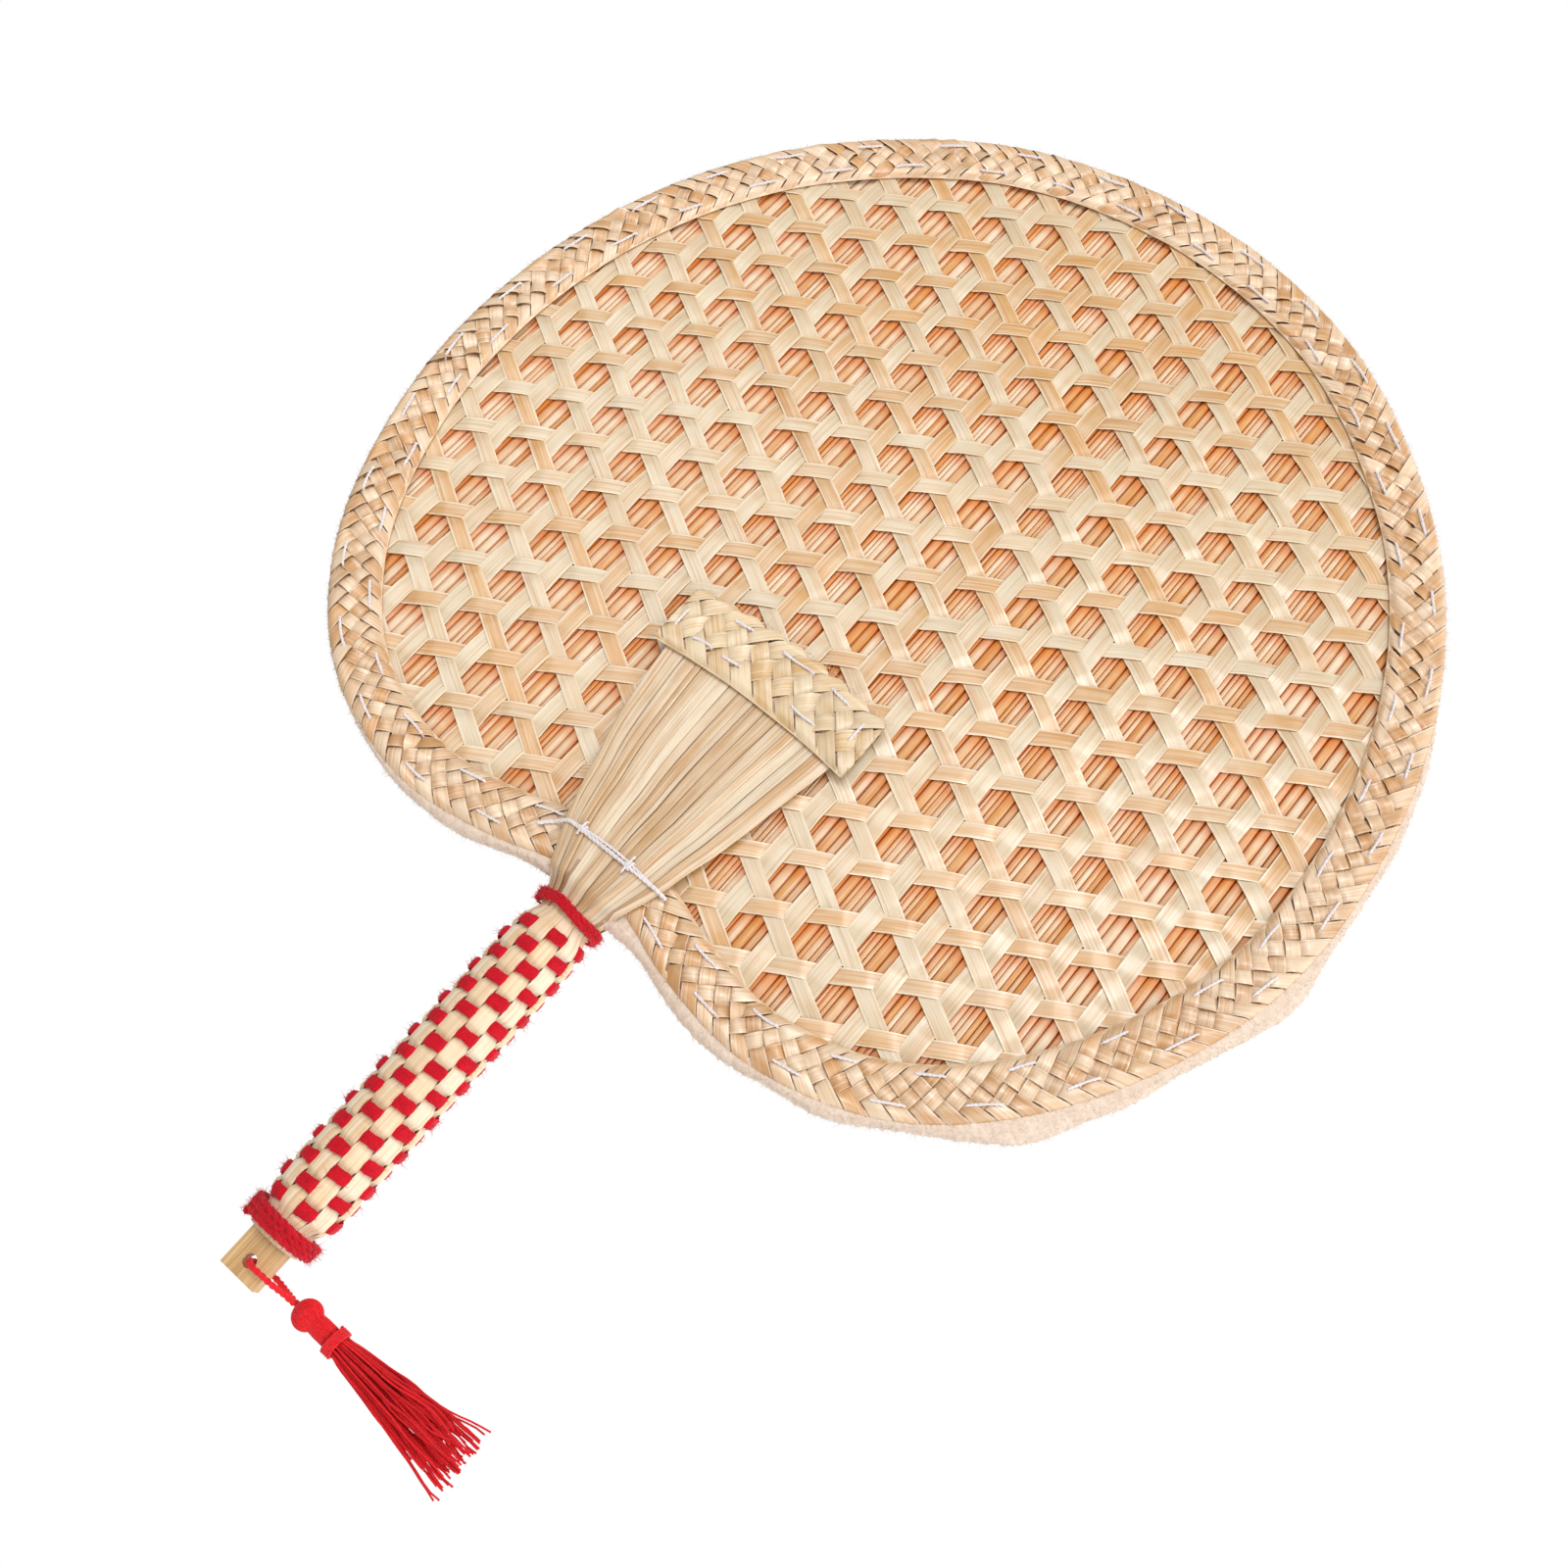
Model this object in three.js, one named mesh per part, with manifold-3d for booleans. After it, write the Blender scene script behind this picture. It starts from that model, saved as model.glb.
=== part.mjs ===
// A woven straw hand fan, in millimetres, held sideways by its grip.
// +X runs from the grip to the tip of the blade, -Y is the front face and +Z is up.
// The origin is on the axis of the grip, midway between its neck and its butt.

import * as THREE from 'three';
import { mergeVertices } from 'three/addons/utils/BufferGeometryUtils.js';
import Module from 'manifold-3d';

const wasm = await Module();
wasm.setup();

// Air left between two pieces that touch on the real fan.
const clearance = 0.3;

// Grip: a flat stick inside a sleeve of straws that yarn is woven through.
const gripLength = 94;
const gripWidth = 19.5;
const gripDepth = 15;
const warpCount = 13;
const warpGroove = 0.5;
const stickWidth = 10;
const stickThickness = 4;
const stickStub = 10;
const stickTongue = 7;
const eyeRadius = 1.6;
const eyeInset = 4;
const shoulderLength = 2;
const shoulderDrop = 0.5;
const swellLength = 8;

// Crimson yarn bound round the neck and the butt of the grip.
const yarnRadius = 0.85;
const yarnPitch = 2.15;
const bindingTurns = 2;
const boundWidth = 14.6;
const boundDepth = 11.8;
const loopSteps = 24;
const loopSides = 6;

// Blade: a circle that touches the end of the grip, and how far the outline stands outside it
// above and below the axis of the grip, by the angle from the tip in degrees.
// The last values are the gap between the neck and the blade.
const bladeRadius = 135;
const bladeBulge = [
  [0, -8.2, -8.2],
  [25, -7.6, -7.5],
  [50, -7, -6.4],
  [70, -4.4, -3.1],
  [90, 0.1, 2.3],
  [110, 7.2, 10.4],
  [130, 15.6, 16],
  [145, 17.7, 17.5],
  [158, 11.5, 11.2],
  [168, 1, 0.8],
  [175, -6.8, -7],
  [180, -9.5, -9.5],
];
const stepsPerKnot = 4;

// Blade layers.
const stalkDiameter = 2.7;
const stalkPitch = 2.7;
const stalkGroove = 0.8;
const weaveThickness = 1.3;
const braidThickness = 1.6;
const braidWidth = 13.2;
const paddingWidth = 3.5;
const paddingProud = 2.2;

// Open three-way weave: one family of strips runs along the grip, two cross it at 60 degrees.
// The weave lies a little below the axis of the grip.
const hexPitch = 15.3;
const stripAlongWidth = 4.5;
const stripCrossWidth = 3.9;
const hexDrop = 2.2;

// Straws that fan out of the neck over both faces, and the braid sewn over their ends.
// Past the neck their middle leans to the upper side of the grip's axis.
const splayStraws = 19;
const splayGroove = 0.35;
const splayThickness = 1.5;
const splayFlareWidth = 20;
const splayKneeLength = 16.7;
const splayKneeWidth = 31;
const splayKneeThickness = 1.95;
const splayBellyLength = 42;
const splayBellyWidth = 43.5;
const splayBellyLean = 2;
const splayLength = 86;
const splayEndWidth = 57;
const splayEndLean = 1.4;
const splayHeelDepth = 7.2;
const splayRise = 3;
const splayLanding = 8;
const rimMargin = 1.5;
const ovalPower = 2;
const flatPower = 8;
const bandLength = 19.5;
const bandWidth = 60;
const bandArch = 4;
const bandThickness = 1.6;
const bandOverhang = 1;

// White thread that lies across the front straws and turns down over their edges.
const threadRadius = 0.5;
const threadSpan = 39;
const threadLift = 0.2;

// Tassel on a loop of cord through the eye of the stick.
const cordRadius = 0.75;
const loopBend = 3;
const loopDrop = 13.3;
const headRadius = 3.4;
const headLength = 6.6;
const headUnderside = 50;
const headStep = 0.4;
const wrapRadius = 0.4;
const wrapPitch = 1.25;
const wrapTurns = 2;
const waistRadius = 2.6;
const skirtLength = 39;
const skirtShoulder = 1.5;
const skirtTopRadius = 3.1;
const skirtHemRadius = 6;
const skirtFolds = 16;
const skirtFoldDepth = 0.6;

// Places along the axis and heights off the middle plane that the sizes above fix.
const neckX = gripLength / 2;
const buttX = -gripLength / 2;
const bindingSpan = bindingTurns * yarnPitch + 2 * yarnRadius;
const bladeX = neckX + bladeRadius;
const bladeGap = -bladeBulge[bladeBulge.length - 1][1];
const stalkFace = stalkDiameter / 2;
const weaveInner = stalkFace + clearance;
const weaveFace = weaveInner + weaveThickness;
const frontBraidInner = weaveFace + clearance;
const frontBraidFace = frontBraidInner + braidThickness;
const backBraidInner = stalkFace + clearance;
const backBraidFace = backBraidInner + braidThickness;
const stripSpacing = hexPitch * Math.sin(Math.PI / 3);
const eyeX = buttX - stickStub + eyeInset;
const swivelZ = -loopDrop - clearance - headRadius;
const backBandFace = stalkFace + 2 * clearance + splayThickness + bandThickness;

const straw = (color, roughness) => new THREE.MeshStandardMaterial({ color, roughness, metalness: 0 });
const materials = {
  stalk: straw(0xdcb684, 0.55),
  strip: straw(0xf0d6a8, 0.42),
  braid: straw(0xe2c28c, 0.5),
  splay: straw(0xe4cc9c, 0.48),
  padding: straw(0xe4c4a8, 0.95),
  stick: straw(0xc99a5c, 0.6),
  crimson: straw(0xb80f2a, 0.9),
  thread: straw(0xf4f2ec, 0.8),
  red: straw(0xd8202c, 0.75),
};

const group = new THREE.Group();

function addPart(name, geometry, material) {
  geometry.deleteAttribute('uv');
  geometry.computeVertexNormals();
  const mesh = new THREE.Mesh(geometry, material);
  mesh.name = name;
  group.add(mesh);
  return mesh;
}

// Closed triangle meshes to solids for cutting, and back.
function toSolid(geometry) {
  const bare = geometry.clone();
  bare.deleteAttribute('normal');
  bare.deleteAttribute('uv');
  const merged = mergeVertices(bare, 1e-4);
  const vertProperties = new Float32Array(merged.attributes.position.array);
  const triVerts = new Uint32Array(merged.index.array);
  return new wasm.Manifold(new wasm.Mesh({ numProp: 3, vertProperties, triVerts }));
}

function toGeometry(solid) {
  const mesh = solid.getMesh();
  const geometry = new THREE.BufferGeometry();
  geometry.setAttribute('position', new THREE.BufferAttribute(new Float32Array(mesh.vertProperties), 3));
  geometry.setIndex(new THREE.BufferAttribute(new Uint32Array(mesh.triVerts), 1));
  return geometry;
}

// A closed skin over rings of points: each ring has as many points, and flat caps close the ends.
function loft(rings) {
  const count = rings[0].length;
  const positions = [];
  const indices = [];
  rings.forEach((ring) => ring.forEach((point) => positions.push(point.x, point.y, point.z)));
  for (let r = 0; r + 1 < rings.length; r += 1) {
    for (let i = 0; i < count; i += 1) {
      const a = r * count + i;
      const b = r * count + (i + 1) % count;
      indices.push(a, b, b + count, a, b + count, a + count);
    }
  }
  const last = (rings.length - 1) * count;
  capFaces(rings[0]).forEach(([a, b, c]) => indices.push(c, b, a));
  capFaces(rings[rings.length - 1]).forEach(([a, b, c]) => indices.push(last + a, last + b, last + c));
  const geometry = new THREE.BufferGeometry();
  geometry.setAttribute('position', new THREE.Float32BufferAttribute(positions, 3));
  geometry.setIndex(signedVolume(positions, indices) < 0 ? indices.reverse() : indices);
  return geometry;
}

// Triangles of a flat ring, turned the way that the ring turns.
function capFaces(ring) {
  const middle = ring.reduce((sum, point) => sum.add(point), new THREE.Vector3()).divideScalar(ring.length);
  const normal = new THREE.Vector3();
  ring.forEach((point, i) => {
    const next = ring[(i + 1) % ring.length];
    normal.add(point.clone().sub(middle).cross(next.clone().sub(middle)));
  });
  normal.normalize();
  const across = ring[0].clone().sub(middle).projectOnPlane(normal).normalize();
  const up = normal.clone().cross(across);
  const flat = ring.map((point) => {
    const arm = point.clone().sub(middle);
    return new THREE.Vector2(arm.dot(across), arm.dot(up));
  });
  return THREE.ShapeUtils.triangulateShape(flat, []);
}

function signedVolume(positions, indices) {
  const a = new THREE.Vector3();
  const b = new THREE.Vector3();
  const c = new THREE.Vector3();
  let volume = 0;
  for (let i = 0; i < indices.length; i += 3) {
    a.fromArray(positions, indices[i] * 3);
    b.fromArray(positions, indices[i + 1] * 3);
    c.fromArray(positions, indices[i + 2] * 3);
    volume += a.dot(b.cross(c));
  }
  return volume;
}

// A plate cut from a flat shape drawn in x and z, from one height off the middle plane to another.
// Height counts towards the front, which is -Y.
function plate(shape, fromHeight, toHeight) {
  const depth = toHeight - fromHeight;
  const geometry = new THREE.ExtrudeGeometry(shape, { depth, curveSegments: 10, bevelEnabled: false });
  geometry.translate(0, 0, fromHeight);
  geometry.rotateX(Math.PI / 2);
  return geometry;
}

function box(minX, maxX, minY, maxY, minZ, maxZ) {
  const geometry = new THREE.BoxGeometry(maxX - minX, maxY - minY, maxZ - minZ);
  geometry.translate((minX + maxX) / 2, (minY + maxY) / 2, (minZ + maxZ) / 2);
  return geometry;
}

function tube(curve, radius, sides, steps) {
  const section = new THREE.Shape();
  for (let i = 0; i < sides; i += 1) {
    const angle = (2 * Math.PI * i) / sides;
    const method = i === 0 ? 'moveTo' : 'lineTo';
    section[method](radius * Math.cos(angle), radius * Math.sin(angle));
  }
  section.closePath();
  return new THREE.ExtrudeGeometry(section, { steps, extrudePath: curve, bevelEnabled: false });
}

// The outline of the blade, as a closed smooth curve: over the top to the neck and back underneath.
const outlineKnots = [...outlineSide(1), ...outlineSide(-1).slice(1, -1).reverse()];
const outlineCurve = new THREE.CatmullRomCurve3(outlineKnots, true, 'centripetal');
const outlineSteps = stepsPerKnot * outlineKnots.length;

// Points of the outline from the tip to the neck: side is 1 above the axis and -1 below it.
function outlineSide(side) {
  return bladeBulge.map(([degrees, above, below]) => {
    const angle = THREE.MathUtils.degToRad(degrees);
    const radius = bladeRadius + (side > 0 ? above : below);
    return new THREE.Vector3(bladeX + radius * Math.cos(angle), side * radius * Math.sin(angle), 0);
  });
}

// Points of the outline moved outwards by a distance that may change with the share of the way round.
function outline(offsetAt) {
  const points = [];
  for (let i = 0; i < outlineSteps; i += 1) {
    const share = i / outlineSteps;
    const point = outlineCurve.getPoint(share);
    const tangent = outlineCurve.getTangent(share);
    const offset = offsetAt(share);
    points.push(new THREE.Vector2(point.x + tangent.y * offset, point.y - tangent.x * offset));
  }
  return points;
}

function isInside(point, polygon) {
  let inside = false;
  polygon.forEach((a, i) => {
    const b = polygon[(i + 1) % polygon.length];
    const crosses = a.y > point.y !== b.y > point.y;
    if (crosses && point.x < a.x + ((point.y - a.y) / (b.y - a.y)) * (b.x - a.x)) inside = !inside;
  });
  return inside;
}

// Round stalks side by side: a ridged plate, cut to the outline.
function stalkLayer() {
  const edge = outline(() => -paddingWidth - clearance);
  const reach = Math.max(...edge.map((point) => Math.abs(point.y)));
  const half = Math.ceil(reach / stalkPitch) + 1;
  const ridge = [];
  const crest = stalkPitch / 4;
  for (let i = -half; i < half; i += 1) {
    const groove = (i + 0.5) * stalkPitch;
    const middle = groove + stalkPitch / 2;
    ridge.push([groove, stalkFace - stalkGroove], [middle - crest, stalkFace], [middle + crest, stalkFace]);
  }
  const front = ridge.map(([z, height]) => [z, -height]);
  const back = ridge.map(([z, height]) => [z, height]).reverse();
  const farX = bladeX + bladeRadius + hexPitch;
  const ringAt = (x) => [...front, ...back].map(([z, y]) => new THREE.Vector3(x, y, z));
  const ridged = toSolid(loft([ringAt(neckX - hexPitch), ringAt(farX)]));
  const blank = toSolid(plate(new THREE.Shape(edge), -stalkDiameter, stalkDiameter));
  return toGeometry(ridged.intersect(blank));
}

// Whether the fanned straws hide a gap of the weave whole.
function isUnderSplay(middle) {
  const past = middle.x - neckX;
  const { half, lean } = splaySpread(past - hexPitch / 2);
  return past < splayLength - hexPitch / 2 && Math.abs(middle.y - lean) + stripSpacing / 2 < half;
}

// The open weave, a plate with a six-sided gap between each set of strips.
function frontWeave() {
  const shape = new THREE.Shape(outline(() => -paddingWidth - clearance));
  const open = outline(() => -braidWidth);
  const side = (stripSpacing - stripAlongWidth) / 2;
  const slant = (stripSpacing - stripCrossWidth) / 2;
  const point = slant / Math.cos(Math.PI / 6);
  const shoulder = (slant - side / 2) / Math.cos(Math.PI / 6);
  const corners = [
    [point, 0],
    [shoulder, side],
    [-shoulder, side],
    [-point, 0],
    [-shoulder, -side],
    [shoulder, -side],
  ];
  const columns = Math.ceil(bladeRadius / stripSpacing) + 1;
  const rows = Math.ceil((2 * bladeRadius) / hexPitch) + 1;
  for (let column = -columns; column < columns; column += 1) {
    for (let row = 0; row < rows; row += 1) {
      const stagger = column % 2 === 0 ? 0 : hexPitch / 2;
      const middle = new THREE.Vector2(
        neckX + stagger + row * hexPitch,
        (column + 0.5) * stripSpacing - hexDrop,
      );
      if (isInside(middle, open) && !isUnderSplay(middle)) {
        const gap = corners.map(([x, z]) => new THREE.Vector2(middle.x + x, middle.y + z));
        shape.holes.push(new THREE.Path(gap));
      }
    }
  }
  return plate(shape, weaveInner, weaveFace);
}

// A flat braid that runs right round the blade.
function rimBraid(fromHeight, toHeight) {
  const shape = new THREE.Shape(outline(() => 0));
  shape.holes.push(new THREE.Path(outline(() => -braidWidth)));
  return plate(shape, fromHeight, toHeight);
}

// Fibre padding between the two braids, which stands proud of them at the sides of the blade.
function edgePadding() {
  const proud = (share) => paddingProud * Math.sin(2 * Math.PI * share) ** 2;
  const shape = new THREE.Shape(outline(proud));
  shape.holes.push(new THREE.Path(outline(() => -paddingWidth)));
  return plate(shape, clearance - backBraidInner, frontBraidInner - clearance);
}

// Half the width of the fanned straws at a distance past the neck, and how far their middle leans.
function splaySpread(distance) {
  const start = bindingSpan / 2;
  const knots = [
    [-start, boundWidth, 0],
    [start, boundWidth, 0],
    [start + splayRise, splayFlareWidth, 0],
    [splayKneeLength, splayKneeWidth, 0],
    [splayBellyLength, splayBellyWidth, splayBellyLean],
    [splayLength, splayEndWidth, splayEndLean],
  ];
  const next = Math.max(1, knots.findIndex(([at]) => at >= distance));
  const [fromAt, fromWidth, fromLean] = knots[next - 1];
  const [toAt, toWidth, toLean] = knots[next];
  const share = (distance - fromAt) / (toAt - fromAt);
  const half = (fromWidth + (toWidth - fromWidth) * share) / 2;
  return { half, lean: fromLean + (toLean - fromLean) * share };
}

// Stations of the fanned straws: distance past the neck, inner height and outer height.
// They leave the neck as half of an oval, climb over the rim braid and lie down flat on the blade.
function splayStations(braidFace, bladeFace) {
  const start = bindingSpan / 2;
  const split = clearance / 2;
  const overBraid = braidFace + clearance;
  const onBlade = bladeFace + clearance;
  const rimEnd = bladeGap + braidWidth + rimMargin;
  const overHeel = Math.max(splayHeelDepth, overBraid + splayThickness);
  return [
    [-start, split, boundDepth / 2],
    [start, split, boundDepth / 2],
    [start + splayRise / 2, split, (boundDepth / 2 + overHeel) / 2],
    [start + splayRise, overBraid, overHeel],
    [bladeGap, overBraid, overHeel],
    [splayKneeLength, overBraid, overBraid + splayKneeThickness],
    [rimEnd, overBraid, overBraid + splayThickness],
    [rimEnd + splayLanding, onBlade, onBlade + splayThickness],
    [splayBellyLength, onBlade, onBlade + splayThickness],
    [splayLength, onBlade, onBlade + splayThickness],
  ];
}

// How square the fanned straws' section is, from an oval at the neck to flat past the rim braid.
function splayPower(distance) {
  const start = bindingSpan / 2;
  const rimEnd = bladeGap + braidWidth + rimMargin;
  const share = THREE.MathUtils.clamp((distance - start) / (rimEnd - start), 0, 1);
  return ovalPower + (flatPower - ovalPower) * share ** 2;
}

// One face's straws: facing is -1 for the front and 1 for the back.
function splay(facing, braidFace, bladeFace) {
  const rings = splayStations(braidFace, bladeFace).map(([distance, inner, outer]) => {
    const { half, lean } = splaySpread(distance);
    const square = splayPower(distance);
    const ring = [];
    for (let i = 0; i <= 2 * splayStraws; i += 1) {
      const share = i / splayStraws - 1;
      const crown = (1 - Math.abs(share) ** square) ** (1 / square);
      const groove = i % 2 === 0 && i > 0 && i < 2 * splayStraws ? splayGroove : 0;
      const rise = Math.max(splayGroove, (outer - inner) * crown - groove);
      ring.push(new THREE.Vector3(neckX + distance, facing * (inner + rise), lean + share * half));
    }
    ring.push(new THREE.Vector3(neckX + distance, facing * inner, lean + half));
    ring.push(new THREE.Vector3(neckX + distance, facing * inner, lean - half));
    return ring;
  });
  const pocketHalf = stickThickness / 2 + clearance;
  const pocketSide = stickWidth / 2 + clearance;
  const pocketEnd = neckX + stickTongue + clearance;
  const pocket = box(buttX, pocketEnd, -pocketHalf, pocketHalf, -pocketSide, pocketSide);
  return toGeometry(toSolid(loft(rings)).subtract(toSolid(pocket)));
}

// A short length of flat braid over the ends of the fanned straws, with an arched upper edge.
function splayBand(fromHeight) {
  const endX = neckX + splayLength + bandOverhang;
  const startX = endX - bandLength;
  const low = splayEndLean - bandWidth / 2;
  const high = splayEndLean + bandWidth / 2;
  const shape = new THREE.Shape();
  shape.moveTo(startX - bandArch / 2, low);
  shape.quadraticCurveTo(startX + bandArch / 2, splayEndLean, startX - bandArch / 2, high);
  shape.lineTo(endX - bandArch, high);
  shape.quadraticCurveTo(endX + bandArch / 2, splayEndLean, endX - bandArch, low);
  shape.closePath();
  return plate(shape, fromHeight, fromHeight + bandThickness);
}

// White thread that lies across the front straws and is sewn down beside them.
function splayThread() {
  const braidTop = frontBraidFace + clearance + threadRadius;
  const strawTop = braidTop + splayKneeThickness + clearance;
  const x = neckX + splayKneeLength;
  const strawEdge = splayKneeWidth / 2 + threadRadius + clearance;
  const route = [
    [-threadSpan / 2, braidTop],
    [-strawEdge - threadRadius, braidTop + threadLift],
    [-strawEdge + threadRadius, strawTop],
    [0, strawTop + threadLift],
    [strawEdge - threadRadius, strawTop],
    [strawEdge + threadRadius, braidTop + threadLift],
    [threadSpan / 2, braidTop],
  ];
  const points = route.map(([z, height]) => new THREE.Vector3(x, -height, z));
  return tube(new THREE.CatmullRomCurve3(points, false, 'centripetal'), threadRadius, 8, 24);
}

// Sleeve of straws round the stick, drawn in at the butt where yarn binds it.
function gripSleeve() {
  const seatEnd = buttX + bindingSpan + clearance;
  const neckEnd = neckX - bindingSpan / 2 - clearance;
  const stations = [
    [buttX, boundWidth / 2, boundDepth / 2, 0],
    [seatEnd, boundWidth / 2, boundDepth / 2, 0],
    [seatEnd + shoulderLength, gripWidth / 2 - shoulderDrop, gripDepth / 2 - shoulderDrop, warpGroove],
    [seatEnd + swellLength, gripWidth / 2, gripDepth / 2, warpGroove],
    [neckEnd - swellLength, gripWidth / 2, gripDepth / 2, warpGroove],
    [neckEnd - shoulderLength, gripWidth / 2 - shoulderDrop, gripDepth / 2 - shoulderDrop, warpGroove],
    [neckEnd, boundWidth / 2, boundDepth / 2, 0],
  ];
  const rings = stations.map(([x, halfWidth, halfDepth, groove]) => {
    const ring = [];
    for (let i = 0; i < 4 * warpCount; i += 1) {
      const angle = (2 * Math.PI * i) / (4 * warpCount);
      const cut = i % 4 === 0 ? groove : 0;
      const y = (halfDepth - cut) * Math.sin(angle);
      ring.push(new THREE.Vector3(x, y, (halfWidth - cut) * Math.cos(angle)));
    }
    return ring;
  });
  const boreHalf = stickThickness / 2 + clearance;
  const boreSide = stickWidth / 2 + clearance;
  const bore = box(buttX - stickStub, neckX, -boreHalf, boreHalf, -boreSide, boreSide);
  return toGeometry(toSolid(loft(rings)).subtract(toSolid(bore)));
}

// Flat stick through the grip, with an eye for the tassel's cord at the butt.
function gripStick() {
  const half = stickThickness / 2;
  const body = box(buttX - stickStub, neckX + stickTongue, -half, half, -stickWidth / 2, stickWidth / 2);
  const drill = new THREE.CylinderGeometry(eyeRadius, eyeRadius, 4 * stickThickness, 20);
  drill.translate(eyeX, 0, 0);
  return toGeometry(toSolid(body).subtract(toSolid(drill)));
}

// The middle line of a winding, with a straight length of one diameter at each end.
function windingRoute(pointAt, turns, radius) {
  const steps = loopSteps * turns;
  const route = [];
  for (let i = 0; i <= steps; i += 1) route.push(pointAt((2 * Math.PI * i) / loopSteps));
  const first = route[0].clone().sub(route[1]).setLength(2 * radius).add(route[0]);
  const last = route[steps].clone().sub(route[steps - 1]).setLength(2 * radius).add(route[steps]);
  return [first, ...route, last];
}

// Least gap between one turn and the next, on the points of the route.
function leastGap(route, radius) {
  let least = Infinity;
  route.forEach((a, i) => {
    for (let j = i + loopSteps / 2; j < route.length; j += 1) {
      least = Math.min(least, a.distanceTo(route[j]));
    }
  });
  return least - 2 * radius;
}

function woundTube(name, route, axis, radius) {
  console.log(`${name}: least gap to itself ${leastGap(route, radius).toFixed(2)} mm`);
  const rings = route.map((point, i) => {
    const before = route[Math.max(0, i - 1)];
    const after = route[Math.min(route.length - 1, i + 1)];
    const along = after.clone().sub(before).normalize();
    const side = axis.clone().projectOnPlane(along).normalize();
    const out = side.clone().cross(along);
    const ring = [];
    for (let k = 0; k < loopSides; k += 1) {
      const angle = (2 * Math.PI * k) / loopSides;
      const spot = point.clone().addScaledVector(side, radius * Math.cos(angle));
      ring.push(spot.addScaledVector(out, radius * Math.sin(angle)));
    }
    return ring;
  });
  return loft(rings);
}

// Yarn bound round the drawn-in straws, starting at a place along the grip.
function binding(name, startX) {
  const halfWidth = boundWidth / 2 + clearance + yarnRadius;
  const halfDepth = boundDepth / 2 + clearance + yarnRadius;
  const pointAt = (angle) => new THREE.Vector3(
    startX + yarnRadius + (yarnPitch * angle) / (2 * Math.PI),
    halfDepth * Math.sin(angle),
    halfWidth * Math.cos(angle),
  );
  const route = windingRoute(pointAt, bindingTurns, yarnRadius);
  return woundTube(name, route, new THREE.Vector3(1, 0, 0), yarnRadius);
}

// Loop of cord: through the eye, round the faces of the stick and down to the head of the tassel.
function tasselLoop() {
  const face = stickThickness / 2;
  const outer = face + loopBend;
  const foot = cordRadius + clearance / 2;
  const side = [
    [0, 0],
    [face, 0],
    [face + 0.7 * loopBend, -0.3 * loopBend],
    [outer, -loopBend],
    [0.85 * outer, -0.55 * loopDrop],
    [foot + 0.6, -0.85 * loopDrop],
    [foot, -loopDrop],
  ];
  const left = side.slice(1).reverse().map(([y, z]) => [-y, z]);
  const points = [...left, ...side].map(([y, z]) => new THREE.Vector3(eyeX, y, z));
  return tube(new THREE.CatmullRomCurve3(points, false, 'centripetal'), cordRadius, 8, 28);
}

function turned(profile, segments) {
  const points = profile.map(([radius, height]) => new THREE.Vector2(radius, height));
  const geometry = new THREE.LatheGeometry(points, segments);
  geometry.rotateX(Math.PI / 2);
  geometry.translate(eyeX, 0, swivelZ);
  return toGeometry(toSolid(geometry));
}

// Round-topped head of the tassel, drawn in to the waist that the thread binds.
function tasselHead() {
  const profile = [[0, -headLength], [waistRadius, -headLength], [waistRadius, -headRadius - headStep]];
  const steps = 8;
  for (let i = 0; i <= steps; i += 1) {
    const angle = THREE.MathUtils.degToRad(-headUnderside + ((90 + headUnderside) * i) / steps);
    const radius = i === steps ? 0 : headRadius * Math.cos(angle);
    profile.push([radius, headRadius * Math.sin(angle)]);
  }
  return turned(profile, 20);
}

function tasselWrap() {
  const reach = waistRadius + clearance + wrapRadius;
  const topZ = swivelZ - headLength - clearance - wrapRadius;
  const pointAt = (angle) => new THREE.Vector3(
    eyeX + reach * Math.cos(angle),
    reach * Math.sin(angle),
    topZ - (wrapPitch * angle) / (2 * Math.PI),
  );
  const route = windingRoute(pointAt, wrapTurns, wrapRadius);
  return woundTube('tassel_wrap', route, new THREE.Vector3(0, 0, 1), wrapRadius);
}

// Skirt of threads: a fluted bell under the waist.
function tasselSkirt() {
  const topZ = swivelZ - headLength - clearance;
  const wrapSpan = wrapTurns * wrapPitch + 2 * wrapRadius;
  const shoulder = wrapSpan + skirtShoulder;
  const flares = 4;
  const stations = [
    [0, waistRadius, 0],
    [wrapSpan, waistRadius, 0],
  ];
  for (let i = 0; i <= flares; i += 1) {
    const share = i / flares;
    const drop = shoulder + share * (skirtLength - shoulder);
    stations.push([drop, skirtTopRadius + share * (skirtHemRadius - skirtTopRadius), share]);
  }
  const rings = stations.map(([drop, radius, share]) => {
    const ring = [];
    for (let i = 0; i < 2 * skirtFolds; i += 1) {
      const angle = (Math.PI * i) / skirtFolds;
      const reach = radius - (i % 2) * share * skirtFoldDepth;
      ring.push(new THREE.Vector3(eyeX + reach * Math.cos(angle), reach * Math.sin(angle), topZ - drop));
    }
    return ring;
  });
  return loft(rings);
}

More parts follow.
